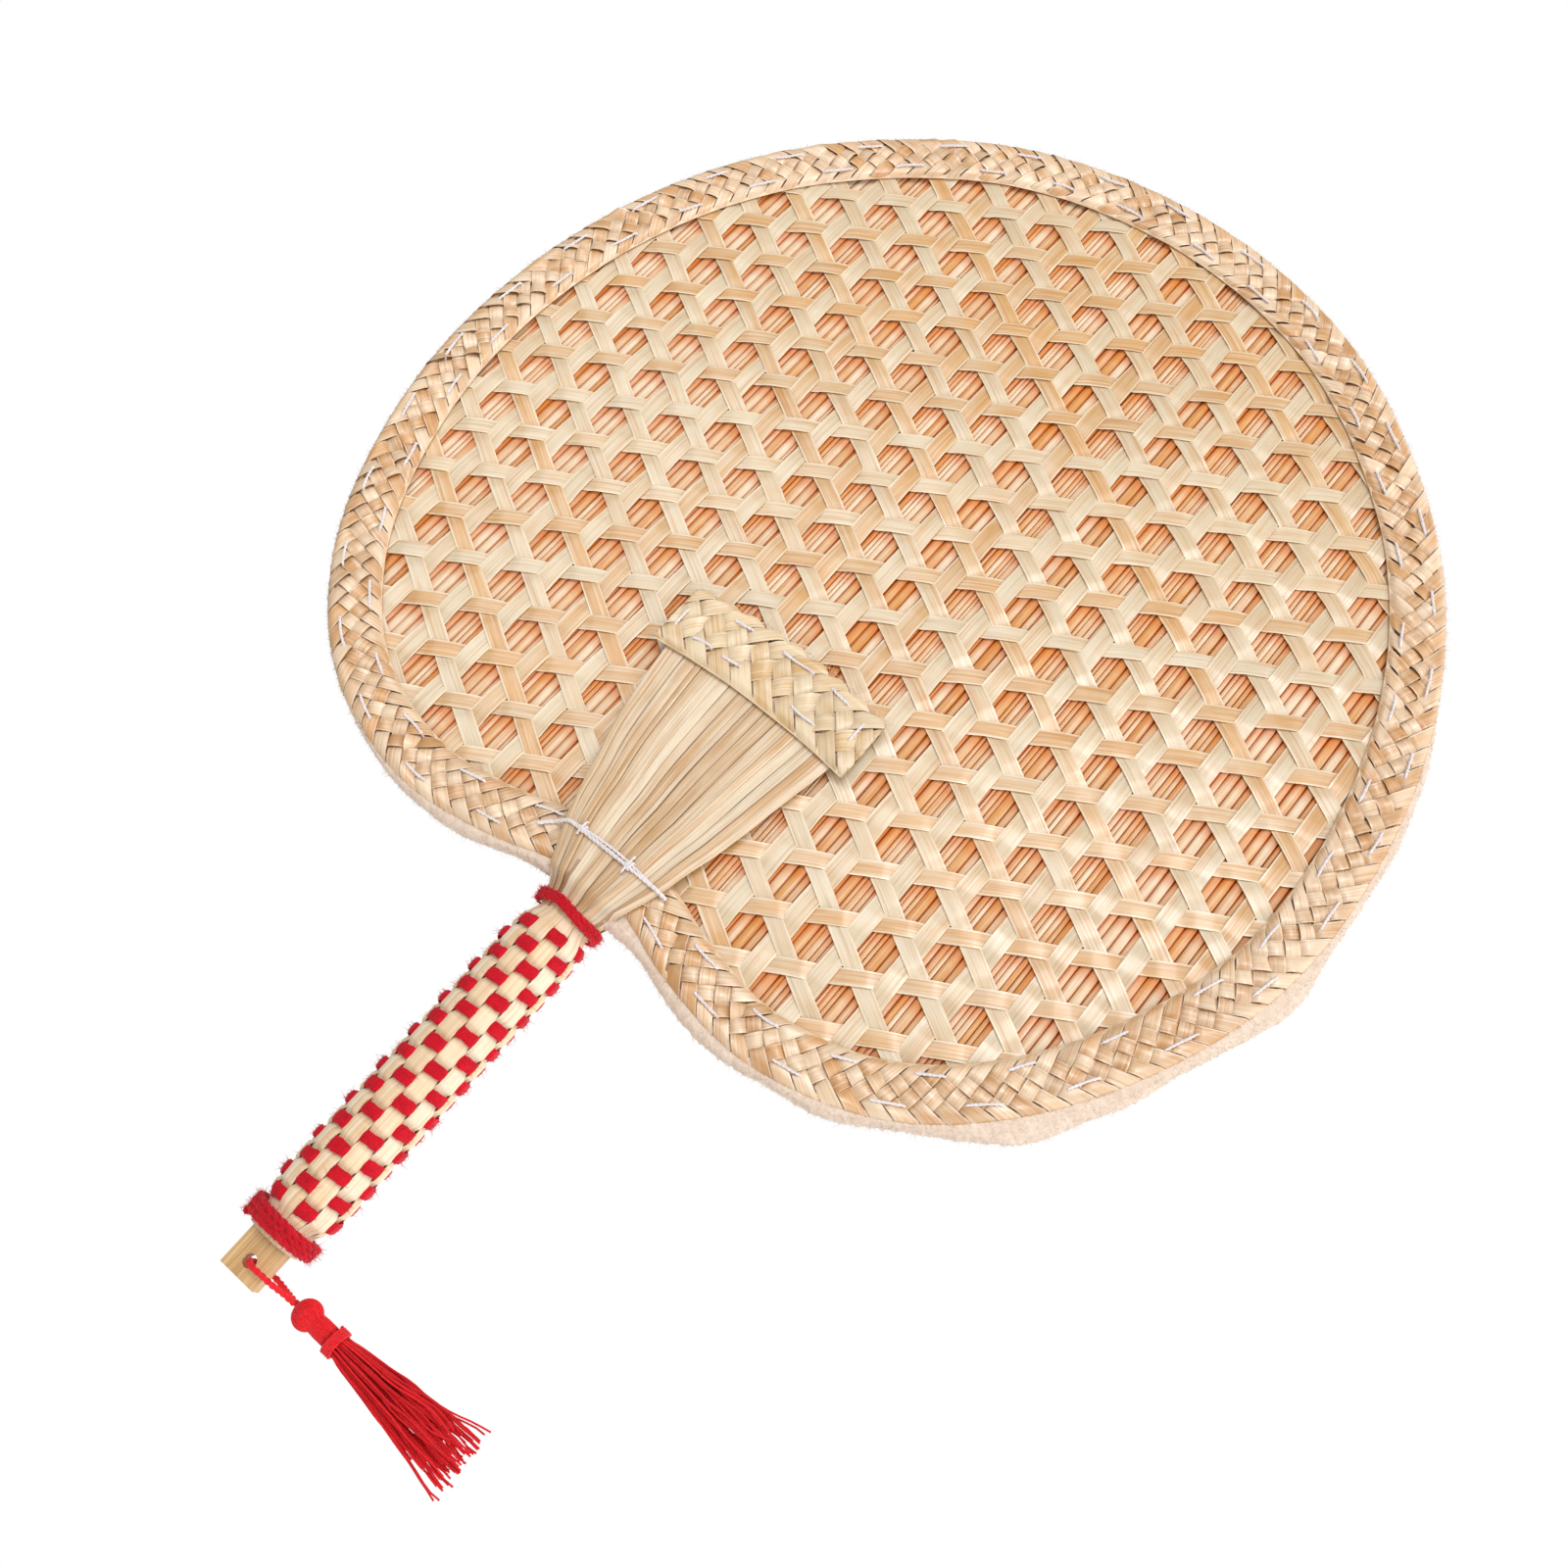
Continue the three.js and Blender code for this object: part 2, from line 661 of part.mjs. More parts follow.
addPart('grip_stick', gripStick(), materials.stick);
addPart('grip_sleeve', gripSleeve(), materials.splay);
addPart('neck_binding', binding('neck_binding', neckX - bindingSpan / 2), materials.crimson);
addPart('butt_binding', binding('butt_binding', buttX), materials.crimson);
addPart('stalk_layer', stalkLayer(), materials.stalk);
addPart('front_weave', frontWeave(), materials.strip);
addPart('front_rim_braid', rimBraid(frontBraidInner, frontBraidFace), materials.braid);
addPart('back_rim_braid', rimBraid(-backBraidFace, -backBraidInner), materials.braid);
addPart('edge_padding', edgePadding(), materials.padding);
addPart('front_splay', splay(-1, frontBraidFace, weaveFace), materials.splay);
addPart('back_splay', splay(1, backBraidFace, stalkFace), materials.splay);
addPart('front_splay_band', splayBand(weaveFace + clearance + splayThickness + clearance), materials.braid);
addPart('back_splay_band', splayBand(-backBandFace), materials.braid);
addPart('splay_thread', splayThread(), materials.thread);
addPart('tassel_loop', tasselLoop(), materials.red);
addPart('tassel_head', tasselHead(), materials.red);
addPart('tassel_wrap', tasselWrap(), materials.red);
addPart('tassel_skirt', tasselSkirt(), materials.red);

export default group;
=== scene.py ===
import math

import bpy
import numpy as np
from mathutils import Matrix, Vector


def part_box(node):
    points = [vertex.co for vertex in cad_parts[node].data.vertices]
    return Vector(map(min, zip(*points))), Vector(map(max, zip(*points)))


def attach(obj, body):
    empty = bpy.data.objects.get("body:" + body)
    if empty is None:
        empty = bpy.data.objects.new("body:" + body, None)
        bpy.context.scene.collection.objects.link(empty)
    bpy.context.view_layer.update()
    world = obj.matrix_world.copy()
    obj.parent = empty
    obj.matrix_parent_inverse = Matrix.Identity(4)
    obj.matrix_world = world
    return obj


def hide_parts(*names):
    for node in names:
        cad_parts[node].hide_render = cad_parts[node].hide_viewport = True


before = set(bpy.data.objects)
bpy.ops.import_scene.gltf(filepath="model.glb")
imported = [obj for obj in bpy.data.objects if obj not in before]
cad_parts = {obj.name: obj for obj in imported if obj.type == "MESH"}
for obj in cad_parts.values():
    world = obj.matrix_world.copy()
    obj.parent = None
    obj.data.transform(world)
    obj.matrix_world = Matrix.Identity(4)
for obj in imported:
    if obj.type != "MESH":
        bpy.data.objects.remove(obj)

MM = 0.001
TAU = 2 * math.pi
FRONT = -1
BACK = 1
SIDES = {FRONT: "front", BACK: "back"}
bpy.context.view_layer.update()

# Sizes of the real fan that its solids share.
EYE_X = -53.0
NECK_X = 47.0
BLADE_X = 182.0
HEX_PITCH = 15.3
HEX_DROP = 2.2
STRIP_SPACING = HEX_PITCH * math.sqrt(0.75)
STALK_PITCH = 2.7
BRAID_WIDTH = 13.2
BLADE_INSET = 3.8
CLEARANCE = 0.3

# Sizes and counts that the solids don't have.
WARPS = 11
RIM_PITCH = 5.7
BAND_PITCH = 6.9
STITCH_PERIOD = 23.5
STITCH_RADIUS = 0.44
# How many of the stalks are split lengthwise, as a share.
SPLIT_SHARE = 0.35
# How far the palest part of the stalks lies off the middle of each gap, towards the neck: the stalks carry painted
# shade beside the strips, heavier on the side of each gap towards the tip.
PAINTED_SHADE_SHIFT = 1.6


def node_box(name):
    """Lowest and highest corner of a solid, in millimetres."""
    return [np.array(corner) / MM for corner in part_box(name)]


def height_range(name, face):
    """How far a solid's inner and outer faces stand off the middle plane."""
    low, high = node_box(name)
    return (low[1], high[1]) if face == BACK else (-high[1], -low[1])


def grid(first, second, third):
    """Three numbers for each point, from values that stretch to one shape."""
    return np.stack(np.broadcast_arrays(first, second, third), -1)


def unit(vectors):
    return vectors / np.linalg.norm(vectors, axis=-1, keepdims=True)


def toned(deep, bright, shaded, most=1.0):
    """A strand's tone, as its colour reads it: how deep, how bright, and how much painted shade."""
    return np.clip(grid(deep, bright, shaded), 0, most)


# Colour and material helpers.
def linear(color):
    """An sRGB colour, 0 to 255, as linear light."""
    share = np.array(color) / 255
    return *np.where(share <= 0.04045, share / 12.92, ((share + 0.055) / 1.055) ** 2.4), 1.0


class Nodes:
    """Adds nodes to a material and joins their sockets."""

    def __init__(self, name):
        self.material = bpy.data.materials.new(name)
        self.material.use_nodes = True
        self.tree = self.material.node_tree
        self.shader = self.tree.nodes["Principled BSDF"]

    def add(self, kind, settings=None, **inputs):
        node = self.tree.nodes.new("ShaderNode" + kind)
        for key, value in (settings or {}).items():
            setattr(node, key, value)
        for key, value in inputs.items():
            self.feed(node.inputs[key.replace("_", " ")], value)
        return node

    def feed(self, socket, value):
        if isinstance(value, bpy.types.NodeSocket):
            self.tree.links.new(value, socket)
        else:
            socket.default_value = value

    def join(self, kind, operation, first, second):
        node = self.add(kind, {"operation": operation})
        self.feed(node.inputs[0], first)
        self.feed(node.inputs[1], second)
        return node.outputs

    def math(self, operation, first, second=0.0):
        return self.join("Math", operation, first, second)[0]

    def ramp(self, value, low, high, to_low=0.0, to_high=1.0):
        limits = {"From_Min": low, "From_Max": high, "To_Min": to_low, "To_Max": to_high}
        return self.add("MapRange", {"clamp": True}, Value=value, **limits).outputs["Result"]

    def mix(self, factor, first, second, blend="MIX"):
        settings = {"data_type": "RGBA", "blend_type": blend, "clamp_result": True}
        return self.add("Mix", settings, Factor=factor, A=first, B=second).outputs["Result"]

    def noise(self, place, scale, detail, roughness=0.5):
        """Noise drawn out by a scale for each axis."""
        drawn = self.join("VectorMath", "MULTIPLY", place, scale)[0]
        return self.add("TexNoise", Vector=drawn, Scale=1.0, Detail=detail, Roughness=roughness).outputs["Fac"]

    def fibre_noise(self, along, across, detail):
        """Noise along a strand: along and across are how many features there are in a millimetre."""
        fibre = self.add("Attribute", {"attribute_name": "fibre"}).outputs["Vector"]
        return self.noise(fibre, (along, across, 1.0), detail, 0.6)

    def tone(self):
        """The strand's tone: how deep, how bright (above 1 a painted highlight) and how much painted shade."""
        tone = self.add("Attribute", {"attribute_name": "tone"}).outputs["Color"]
        return self.add("SeparateColor", Color=tone).outputs

    def painted_strip_shade(self):
        """Painted shade for the stalks: 1 beside the strips of the weave, where they would keep the light off the
        front face, 0 in the middle of its gaps.
        """
        place = self.add("TexCoord").outputs["Object"]
        total = None
        for turn in (-30, 30, 90):
            way = math.radians(turn)
            wave = TAU / STRIP_SPACING / MM * Vector((math.cos(way), 0.0, math.sin(way)))
            phase = wave.x * (NECK_X - PAINTED_SHADE_SHIFT) * MM + wave.z * (STRIP_SPACING / 2 - HEX_DROP) * MM
            dot = self.join("VectorMath", "DOT_PRODUCT", place, wave)["Value"]
            ripple = self.math("COSINE", self.math("SUBTRACT", dot, phase))
            total = ripple if total is None else self.math("ADD", total, ripple)
        height = self.add("SeparateXYZ", Vector=place).outputs["Y"]
        front = self.ramp(height, -0.4 * MM, 0.4 * MM, 1.0, 0.0)
        return self.math("MULTIPLY", self.ramp(total, -0.2, 2.0, 1.0, 0.0), front)

    def surface(self, color, roughness, bump=None, depth=0.05, strength=0.5, **constants):
        self.feed(self.shader.inputs["Base Color"], color)
        self.feed(self.shader.inputs["Roughness"], roughness)
        if bump is not None:
            node = self.add("Bump", Strength=strength, Distance=depth * MM, Height=bump)
            self.feed(self.shader.inputs["Normal"], node.outputs["Normal"])
        for key, value in constants.items():
            self.shader.inputs[key].default_value = value
        return self.material


def straw_material(name, light, deep, shade, gloss, coat=0.0, specular=0.5, strip_shade=0.0):
    """Dried straw: fine lengthwise grain, slow blotches, and painted shade where strands shade each other. Its last
    number adds painted shade beside the weave's strips.
    """
    nodes = Nodes(name)
    tone = nodes.tone()
    grain = nodes.fibre_noise(0.04, 2.1, 2.0)
    streak = nodes.fibre_noise(0.03, 0.8, 1.0)
    blotch = nodes.fibre_noise(0.1, 0.2, 2.0)
    depth = nodes.math("ADD", tone["Red"], nodes.ramp(blotch, 0.3, 0.7, -0.2, 0.2))
    depth = nodes.math("ADD", depth, nodes.ramp(streak, 0.3, 0.7, -0.2, 0.2))
    color = nodes.mix(depth, linear(light), linear(deep))
    dark_grain = nodes.ramp(grain, 0.34, 0.46, 0.42, 0.0)
    color = nodes.mix(dark_grain, color, linear(deep), "MULTIPLY")
    pale_grain = nodes.ramp(grain, 0.56, 0.66, 0.0, 0.35)
    color = nodes.mix(pale_grain, color, linear((248, 234, 212)))
    # Painted shade: from the strand's tone and, when asked for, beside the weave's strips.
    dark = tone["Blue"]
    if strip_shade > 0:
        dark = nodes.math("ADD", dark, nodes.math("MULTIPLY", nodes.painted_strip_shade(), strip_shade))
    color = nodes.mix(dark, color, linear(shade))
    # The strand's brightness; above 1 it is a painted highlight.
    bright = nodes.add("CombineColor", Red=tone["Green"], Green=tone["Green"], Blue=tone["Green"])
    color = nodes.mix(1.0, color, bright.outputs[0], "MULTIPLY")
    rough = nodes.ramp(grain, 0.2, 0.8, gloss + 0.12, gloss)
    return nodes.surface(color, rough, grain, depth=0.06, strength=0.6,
                         **{"Specular IOR Level": specular, "Coat Weight": coat, "Coat Roughness": 0.22})


def yarn_material(name, light, deep, sheen):
    """Soft spun yarn: short matted fibres over a slow change of tone."""
    nodes = Nodes(name)
    tone = nodes.tone()
    fibres = nodes.fibre_noise(1.3, 4.5, 4.0)
    patch = nodes.fibre_noise(0.25, 0.5, 2.0)
    depth = nodes.math("ADD", nodes.ramp(fibres, 0.3, 0.7, 0.0, 0.7), nodes.ramp(patch, 0.3, 0.7, -0.15, 0.15))
    depth = nodes.math("ADD", depth, tone["Blue"])
    color = nodes.mix(depth, linear(light), linear(deep))
    return nodes.surface(color, 0.85, fibres, depth=0.25, strength=0.7,
                         **{"Sheen Weight": sheen, "Sheen Roughness": 0.4, "Specular IOR Level": 0.25})


def wood_material(name, light, deep):
    """Split bamboo: straight fibres along the stick."""
    nodes = Nodes(name)
    place = nodes.add("NewGeometry").outputs["Position"]
    grain = nodes.noise(place, (40.0, 1600.0, 1600.0), 4.0)
    color = nodes.mix(nodes.ramp(grain, 0.35, 0.65), linear(light), linear(deep))
    return nodes.surface(color, nodes.ramp(grain, 0.3, 0.7, 0.5, 0.65), grain, depth=0.08, strength=0.5)


STRIP = straw_material("strip", (221, 202, 170), (215, 165, 104), (182, 100, 36), 0.24, 0.3, 0.8)
STALK = straw_material("stalk", (246, 222, 190), (226, 160, 88), (220, 116, 12), 0.38, 0.0, 0.4, 0.58)
BRAID = straw_material("braid", (240, 212, 178), (212, 158, 98), (134, 72, 24), 0.24, 0.3, 0.8)
BAND = straw_material("band", (236, 214, 178), (214, 174, 118), (140, 84, 34), 0.26, 0.3)
SPLAY = straw_material("splay", (232, 212, 182), (204, 162, 112), (112, 58, 18), 0.32, 0.1)
WARP = straw_material("warp", (246, 228, 200), (230, 188, 136), (160, 84, 44), 0.34)
CRIMSON = yarn_material("crimson", (226, 12, 38), (138, 4, 20), 0.2)
WHITE = yarn_material("white", (248, 242, 242), (212, 202, 202), 0.2)
RED = yarn_material("red", (255, 42, 48), (190, 8, 22), 0.2)
FIBRE = yarn_material("fibre", (244, 226, 208), (216, 190, 168), 0.25)
STICK = wood_material("stick", (226, 190, 138), (190, 146, 92))


def put_in_scene(name, data):
    made = bpy.data.objects.new(name, data)
    bpy.context.scene.collection.objects.link(made)
    return made


# Strands: closed tubes and ribbons that share one mesh.
class Strands:
    """Closed strands gathered into one mesh. Every point keeps its place along and across its strand, and a tone."""

    def __init__(self, seed):
        self.rng = np.random.default_rng(seed)
        self.points = []
        self.fibre = []
        self.tones = []
        self.quads = []
        self.caps = []
        self.size = 0

    def add(self, rings, along, across, tone, seed=None, joined=False):
        """rings is a grid of points: one ring of the section at each step along the strand."""
        along = np.asarray(along, float).reshape(len(rings), -1)
        seed = self.rng.uniform(0, 50) if seed is None else seed
        self.add_many(rings[None], along, across, np.array([seed]), tone, joined)

    def add_many(self, rings, along, across, seeds, tone, joined=False):
        """The same for many strands with equal numbers of steps and points."""
        batch, steps, around, _ = rings.shape
        here = np.arange(batch * steps * around).reshape(batch, steps, around)
        ahead = np.roll(here, -1, axis=1) if joined else here[:, 1:]
        now = here if joined else here[:, :-1]
        quads = np.stack([now, np.roll(now, -1, 2), np.roll(ahead, -1, 2), ahead], -1).reshape(batch, -1, 4)
        caps = np.stack([here[:, 0, ::-1], here[:, -1]], 1)
        points = rings.reshape(-1, 3)
        corner = points[quads] - rings.mean((1, 2))[:, None, None]
        volume = np.einsum("bqi,bqi->b", corner[:, :, 0], np.cross(corner[:, :, 1], corner[:, :, 2]))
        quads[volume < 0] = quads[volume < 0][:, :, ::-1]
        caps[volume < 0] = caps[volume < 0][:, :, ::-1]
        self.quads.append(quads.reshape(-1, 4) + self.size)
        if not joined:
            self.caps.append(caps.reshape(-1, around) + self.size)
        fibre = grid(along, across, seeds[:, None, None])
        self.points.append(points)
        for kept, given in ((self.fibre, fibre), (self.tones, tone)):
            kept.append(np.broadcast_to(given, rings.shape).reshape(-1, 3))
        self.size += len(points)

    def piece(self, name, material, slot, *replaced, body="fan", sharp=50):
        """The mesh as an object in metres that rides on a body and stands for the solids that it replaces."""
        points = np.concatenate(self.points) * MM
        quads = np.concatenate(self.quads)
        corners = np.concatenate([quads.ravel(), *(caps.ravel() for caps in self.caps)]).astype(np.int32)
        counts = [np.full(len(caps), caps.shape[1]) for caps in self.caps]
        sizes = np.concatenate([np.full(len(quads), 4), *counts]).astype(np.int32)
        starts = np.concatenate([[0], np.cumsum(sizes)[:-1]]).astype(np.int32)
        mesh = bpy.data.meshes.new(name)
        mesh.vertices.add(len(points))
        mesh.vertices.foreach_set("co", points.ravel().astype(np.float32))
        mesh.loops.add(len(corners))
        mesh.loops.foreach_set("vertex_index", corners)
        mesh.polygons.add(len(sizes))
        mesh.polygons.foreach_set("loop_start", starts)
        mesh.update(calc_edges=True)
        mesh.validate()
        fibre = mesh.attributes.new("fibre", "FLOAT_VECTOR", "POINT")
        fibre.data.foreach_set("vector", np.concatenate(self.fibre).ravel().astype(np.float32))
        tones = np.concatenate(self.tones)
        tone = mesh.attributes.new("tone", "FLOAT_COLOR", "POINT")
        shades = np.concatenate([tones, np.ones((len(tones), 1))], 1)
        tone.data.foreach_set("color", shades.ravel().astype(np.float32))
        mesh.shade_smooth()
        mesh.set_sharp_from_angle(angle=math.radians(sharp))
        mesh.materials.append(material)
        made = put_in_scene(name, mesh)
        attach(made, body)
        if replaced:
            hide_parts(*replaced)
        return made


def wander(rng, along, wavelength, size):
    """A smooth random sway along a strand."""
    total = np.zeros_like(np.asarray(along, float))
    for share, shrink in ((0.6, 1.0), (0.3, 0.61), (0.2, 0.37)):
        total += share * np.sin(TAU * np.asarray(along) / (wavelength * shrink) + rng.uniform(0, TAU))
    return size * total


def squarish(wave, firmness):
    """A wave between -1 and 1 with flatter crests, as a strand has that lies over and under others."""
    return np.tanh(firmness * wave) / math.tanh(firmness)


# A ribbon's section: places across it from edge to edge over the top and back under, which of them are on top,
# and which are at its edges.
ACROSS = np.array([-1.0, -0.88, -0.76, -0.38, 0.0, 0.38, 0.76, 0.88, 1.0, 0.92, -0.92])
ON_TOP = np.arange(11) < 9
EDGES = (np.abs(ACROSS) > 0.85).astype(float)
LEFT = (ACROSS < -0.9).astype(float)
RIGHT = (ACROSS > 0.9).astype(float)


def section_lift(thickness, crown):
    """Heights of a ribbon's section off its middle."""
    top = thickness / 2 + crown * (1 - ACROSS**2)
    return np.where(ON_TOP, top, -thickness / 2)


def frames(path):
    """Two directions square to a path and to each other that turn as little as they can."""
    ahead = unit(np.gradient(path, axis=0))
    side = np.cross(ahead[0], (0.0, 1.0, 0.0))
    if np.linalg.norm(side) < 0.2:
        side = np.cross(ahead[0], (0.0, 0.0, 1.0))
    sides = []
    for way in ahead:
        side = unit(side - way * (side @ way))
        sides.append(side)
    sides = np.array(sides)
    return sides, np.cross(ahead, sides)


def tube(path, radius, sides=6):
    """Rings round a path. The radius is one number or one for each point."""
    side, up = frames(path)
    angle = TAU * np.arange(sides) / sides
    reach = np.broadcast_to(radius, len(path))[:, None, None]
    spoke = side[:, None] * np.cos(angle)[None, :, None] + up[:, None] * np.sin(angle)[None, :, None]
    return path[:, None] + reach * spoke


def path_lengths(path):
    return np.concatenate([[0], np.cumsum(np.linalg.norm(np.diff(path, axis=0), axis=1))])


def add_plies(strands, path, radius, plies, lay, tone, sides=6):
    """Yarn of several plies that wind round its path once in each length of lay."""
    side, up = frames(path)
    along = path_lengths(path)
    ply_radius = radius * (0.62 if plies == 2 else 0.54)
    across = np.linspace(0, TAU * ply_radius, sides, endpoint=False)
    for ply in range(plies):
        turn = TAU * (along / lay + ply / plies)
        centre = path + (radius - ply_radius) * (side * np.cos(turn)[:, None] + up * np.sin(turn)[:, None])
        swell = ply_radius * (1 + wander(strands.rng, along, 6.0, 0.06))
        strands.add(tube(centre, swell, sides), along, across, tone)


def add_thread(strands, path, radius, sides=5):
    """White sewing thread of two plies."""
    add_plies(strands, path, radius, 2, 2.2, (0.3, 1.0, 0.0), sides)


def add_fuzz(strands, places, outward, count, length, thickness=0.08, tone=(0.0, 1.0, 0.0)):
    """Short loose fibres that stand off a surface given by points and the ways that they face."""
    rng = strands.rng
    pick = rng.integers(0, len(places), count)
    way = unit(unit(outward[pick]) + rng.normal(0, 0.7, (count, 3)))
    curl = rng.normal(0, 0.45, (count, 3))
    side = unit(np.cross(way, rng.normal(0, 1, (count, 3))))
    up = np.cross(way, side)
    reach = length * rng.uniform(0.5, 1.3, (count, 1, 1))
    share = np.array([0.0, 0.5, 1.0])[None, :, None]
    path = places[pick][:, None] + reach * (share * way[:, None] + share**2 * curl[:, None])
    angle = TAU * np.arange(3) / 3
    spoke = side[:, None] * np.cos(angle)[:, None] + up[:, None] * np.sin(angle)[:, None]
    radius = thickness * np.array([0.5, 0.45, 0.2])[:, None, None]
    rings = path[:, :, None] + radius * spoke[:, None]
    along = (reach * share)[:, :, :1]
    strands.add_many(rings, along, 0.0, rng.uniform(0, 50, count), tone)


def smooth_stretches(knots, steps):
    """A smooth path from the second of some points to the last but one, steps to each stretch."""
    share = np.arange(steps)[:, None] / steps
    made = []
    for a, b, c, d in zip(knots, knots[1:], knots[2:], knots[3:]):
        bend = 2 * b + (c - a) * share + (2 * a - 5 * b + 4 * c - d) * share**2
        made.append(0.5 * (bend + (3 * b - a - 3 * c + d) * share**3))
    return np.concatenate(made)


def spline(knots, steps):
    """A smooth path through given points, steps to each stretch."""
    knots = np.array(knots, float)
    padded = np.concatenate([[2 * knots[0] - knots[1]], knots, [2 * knots[-1] - knots[-2]]])
    return np.concatenate([smooth_stretches(padded, steps), [knots[-1]]])


# The blade's outline, read from the rim's solid.
class Outline:
    """The outer edge of the blade in x and z, as a smooth closed path that runs from the tip towards +Z."""

    def __init__(self):
        loop = self.outer_loop()
        points = smooth_stretches(np.concatenate([loop[-1:], loop, loop[:2]]), 12)
        self.points = np.concatenate([points, points[:1]])
        self.along = path_lengths(self.points)
        self.length = self.along[-1]
        ahead = unit(np.roll(points, -1, 0) - np.roll(points, 1, 0))
        outward = np.stack([ahead[:, 1], -ahead[:, 0]], -1)
        self.outward = np.concatenate([outward, outward[:1]])

    @staticmethod
    def outer_loop():
        """The outer edge of the solid rim's front face, as points in x and z."""
        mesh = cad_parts["front_rim_braid"].data
        places = np.zeros(len(mesh.vertices) * 3, np.float32)
        mesh.vertices.foreach_get("co", places)
        places = np.round(places.reshape(-1, 3).astype(float) / MM, 3)
        places, names = np.unique(places, axis=0, return_inverse=True)
        face = places[:, 1].min() + 0.1
        edges = set()
        for polygon in mesh.polygons:
            corners = [int(names.ravel()[i]) for i in polygon.vertices]
            if places[corners, 1].max() < face:
                edges.update(zip(corners, corners[1:] + corners[:1]))
        ahead = {a: b for a, b in edges if (b, a) not in edges}
        loops = []
        while ahead:
            start, step = ahead.popitem()
            loop = [start]
            while step != start:
                loop.append(step)
                step = ahead.pop(step)
            loops.append(places[loop][:, [0, 2]])
        loop = max(loops, key=lambda points: np.ptp(points[:, 0]))
        turn = np.roll(loop, -1, 0)
        if np.sum(loop[:, 0] * turn[:, 1] - loop[:, 1] * turn[:, 0]) < 0:
            loop = loop[::-1]
        return np.roll(loop, -int(loop[:, 0].argmax()), axis=0)

    def at(self, along, outset):
        """Points beside the outline, a distance along it and a distance outside it."""
        wrapped = np.mod(along, self.length)
        pairs = zip(self.points.T, self.outward.T)
        return [np.interp(wrapped, self.along, point) + np.interp(wrapped, self.along, way) * outset
                for point, way in pairs]


def spans(origin, direction, polygon):
    """Stretches of a line that lie inside a polygon, as distances from the line's origin."""
    after = np.roll(polygon, -1, 0)
    square = np.array([-direction[1], direction[0]])
    side, side_after = (polygon - origin) @ square, (after - origin) @ square
    cut = (side > 0) != (side_after > 0)
    share = side[cut] / (side[cut] - side_after[cut])
    places = np.sort((polygon[cut] + share[:, None] * (after[cut] - polygon[cut]) - origin) @ direction)
    return [(a, b) for a, b in zip(places[::2], places[1::2]) if b - a > 5.0]


outline = Outline()
blade_edge = np.stack(outline.at(outline.along[:-1], -BLADE_INSET), -1)


def stalks():
    """Stalks side by side, some of them split lengthwise, with the bends and mixed colours that dried stalks have."""
    strands = Strands(11)
    rng = strands.rng
    face = height_range("stalk_layer", FRONT)[1] - 0.06
    angle = TAU * np.array([0.0, 0.11, 0.19, 0.25, 0.31, 0.39, 0.5, 0.61, 0.75, 0.89])
    flat_cos = np.sign(np.cos(angle)) * np.abs(np.cos(angle)) ** 0.5
    flat_sin = np.sign(np.sin(angle)) * np.abs(np.sin(angle)) ** 0.85
    # Painted shade on the sides where each stalk meets its neighbours.
    between = np.clip((np.abs(flat_sin) - 0.8) / 0.2, 0, 1)
    rows = int(np.abs(blade_edge[:, 1]).max() / STALK_PITCH)
    stretches = []
    for row in range(-rows, rows + 1):
        split = rng.uniform(-0.25, 0.25)
        for left, right in ((-0.5, split), (split, 0.5)) if rng.uniform() < SPLIT_SHARE else ((-0.5, 0.5),):
            z = (row + (left + right) / 2) * STALK_PITCH
            reach = (right - left) * STALK_PITCH / 2 + 0.08
            for start, end in spans(np.array([0.0, z]), np.array([1.0, 0.0]), blade_edge):
                stretches.append((z, reach, start, end))
    for z, reach, start, end in stretches:
        along = np.linspace(start, end, max(4, int((end - start) / 9)))[:, None]
        swell = rng.uniform(0.95, 1.0) * (1 + wander(rng, along, 90, 0.015))
        middle_z = z + wander(rng, along, 130, 0.06)
        middle_y = wander(rng, along, 110, 0.04)
        rings = grid(along, middle_y + face * swell * flat_cos, middle_z + reach * swell * flat_sin)
        tone = toned(rng.uniform(-0.1, 1.0) + wander(rng, along, 80, 0.25), rng.uniform(0.93, 1.0), 0.6 * between)
        strands.add(rings, along, angle / TAU * STALK_PITCH * math.pi, tone)
    strands.piece("straw_stalks", STALK, "stalk", "stalk_layer")


# The three families of strips: the way each runs, and the family that it passes over.
STRIP_WAYS = {"along": (1.0, 0.0), "rising": (0.5, math.sqrt(0.75)), "falling": (0.5, -math.sqrt(0.75))}
STRIP_OVER = {"along": "falling", "falling": "rising", "rising": "along"}
STRIP_WIDTHS = {"along": 4.8, "rising": 4.35, "falling": 4.1}
STRIP_SHIFTS = {"along": 0.65, "rising": 0.1, "falling": 0.3}
STRIP_SWING = 0.26
STRIP_WARM = {"along": 0.3, "rising": 0.45, "falling": 0.75}


def strip_square(family):
    """The direction square to a family's strips, and where one of them lies on it."""
    way = STRIP_WAYS[family]
    square = np.array([-way[1], way[0]])
    gap = np.array([NECK_X, STRIP_SPACING / 2 - HEX_DROP])
    return square, float(gap @ square) + STRIP_SPACING / 2 + STRIP_SHIFTS[family]


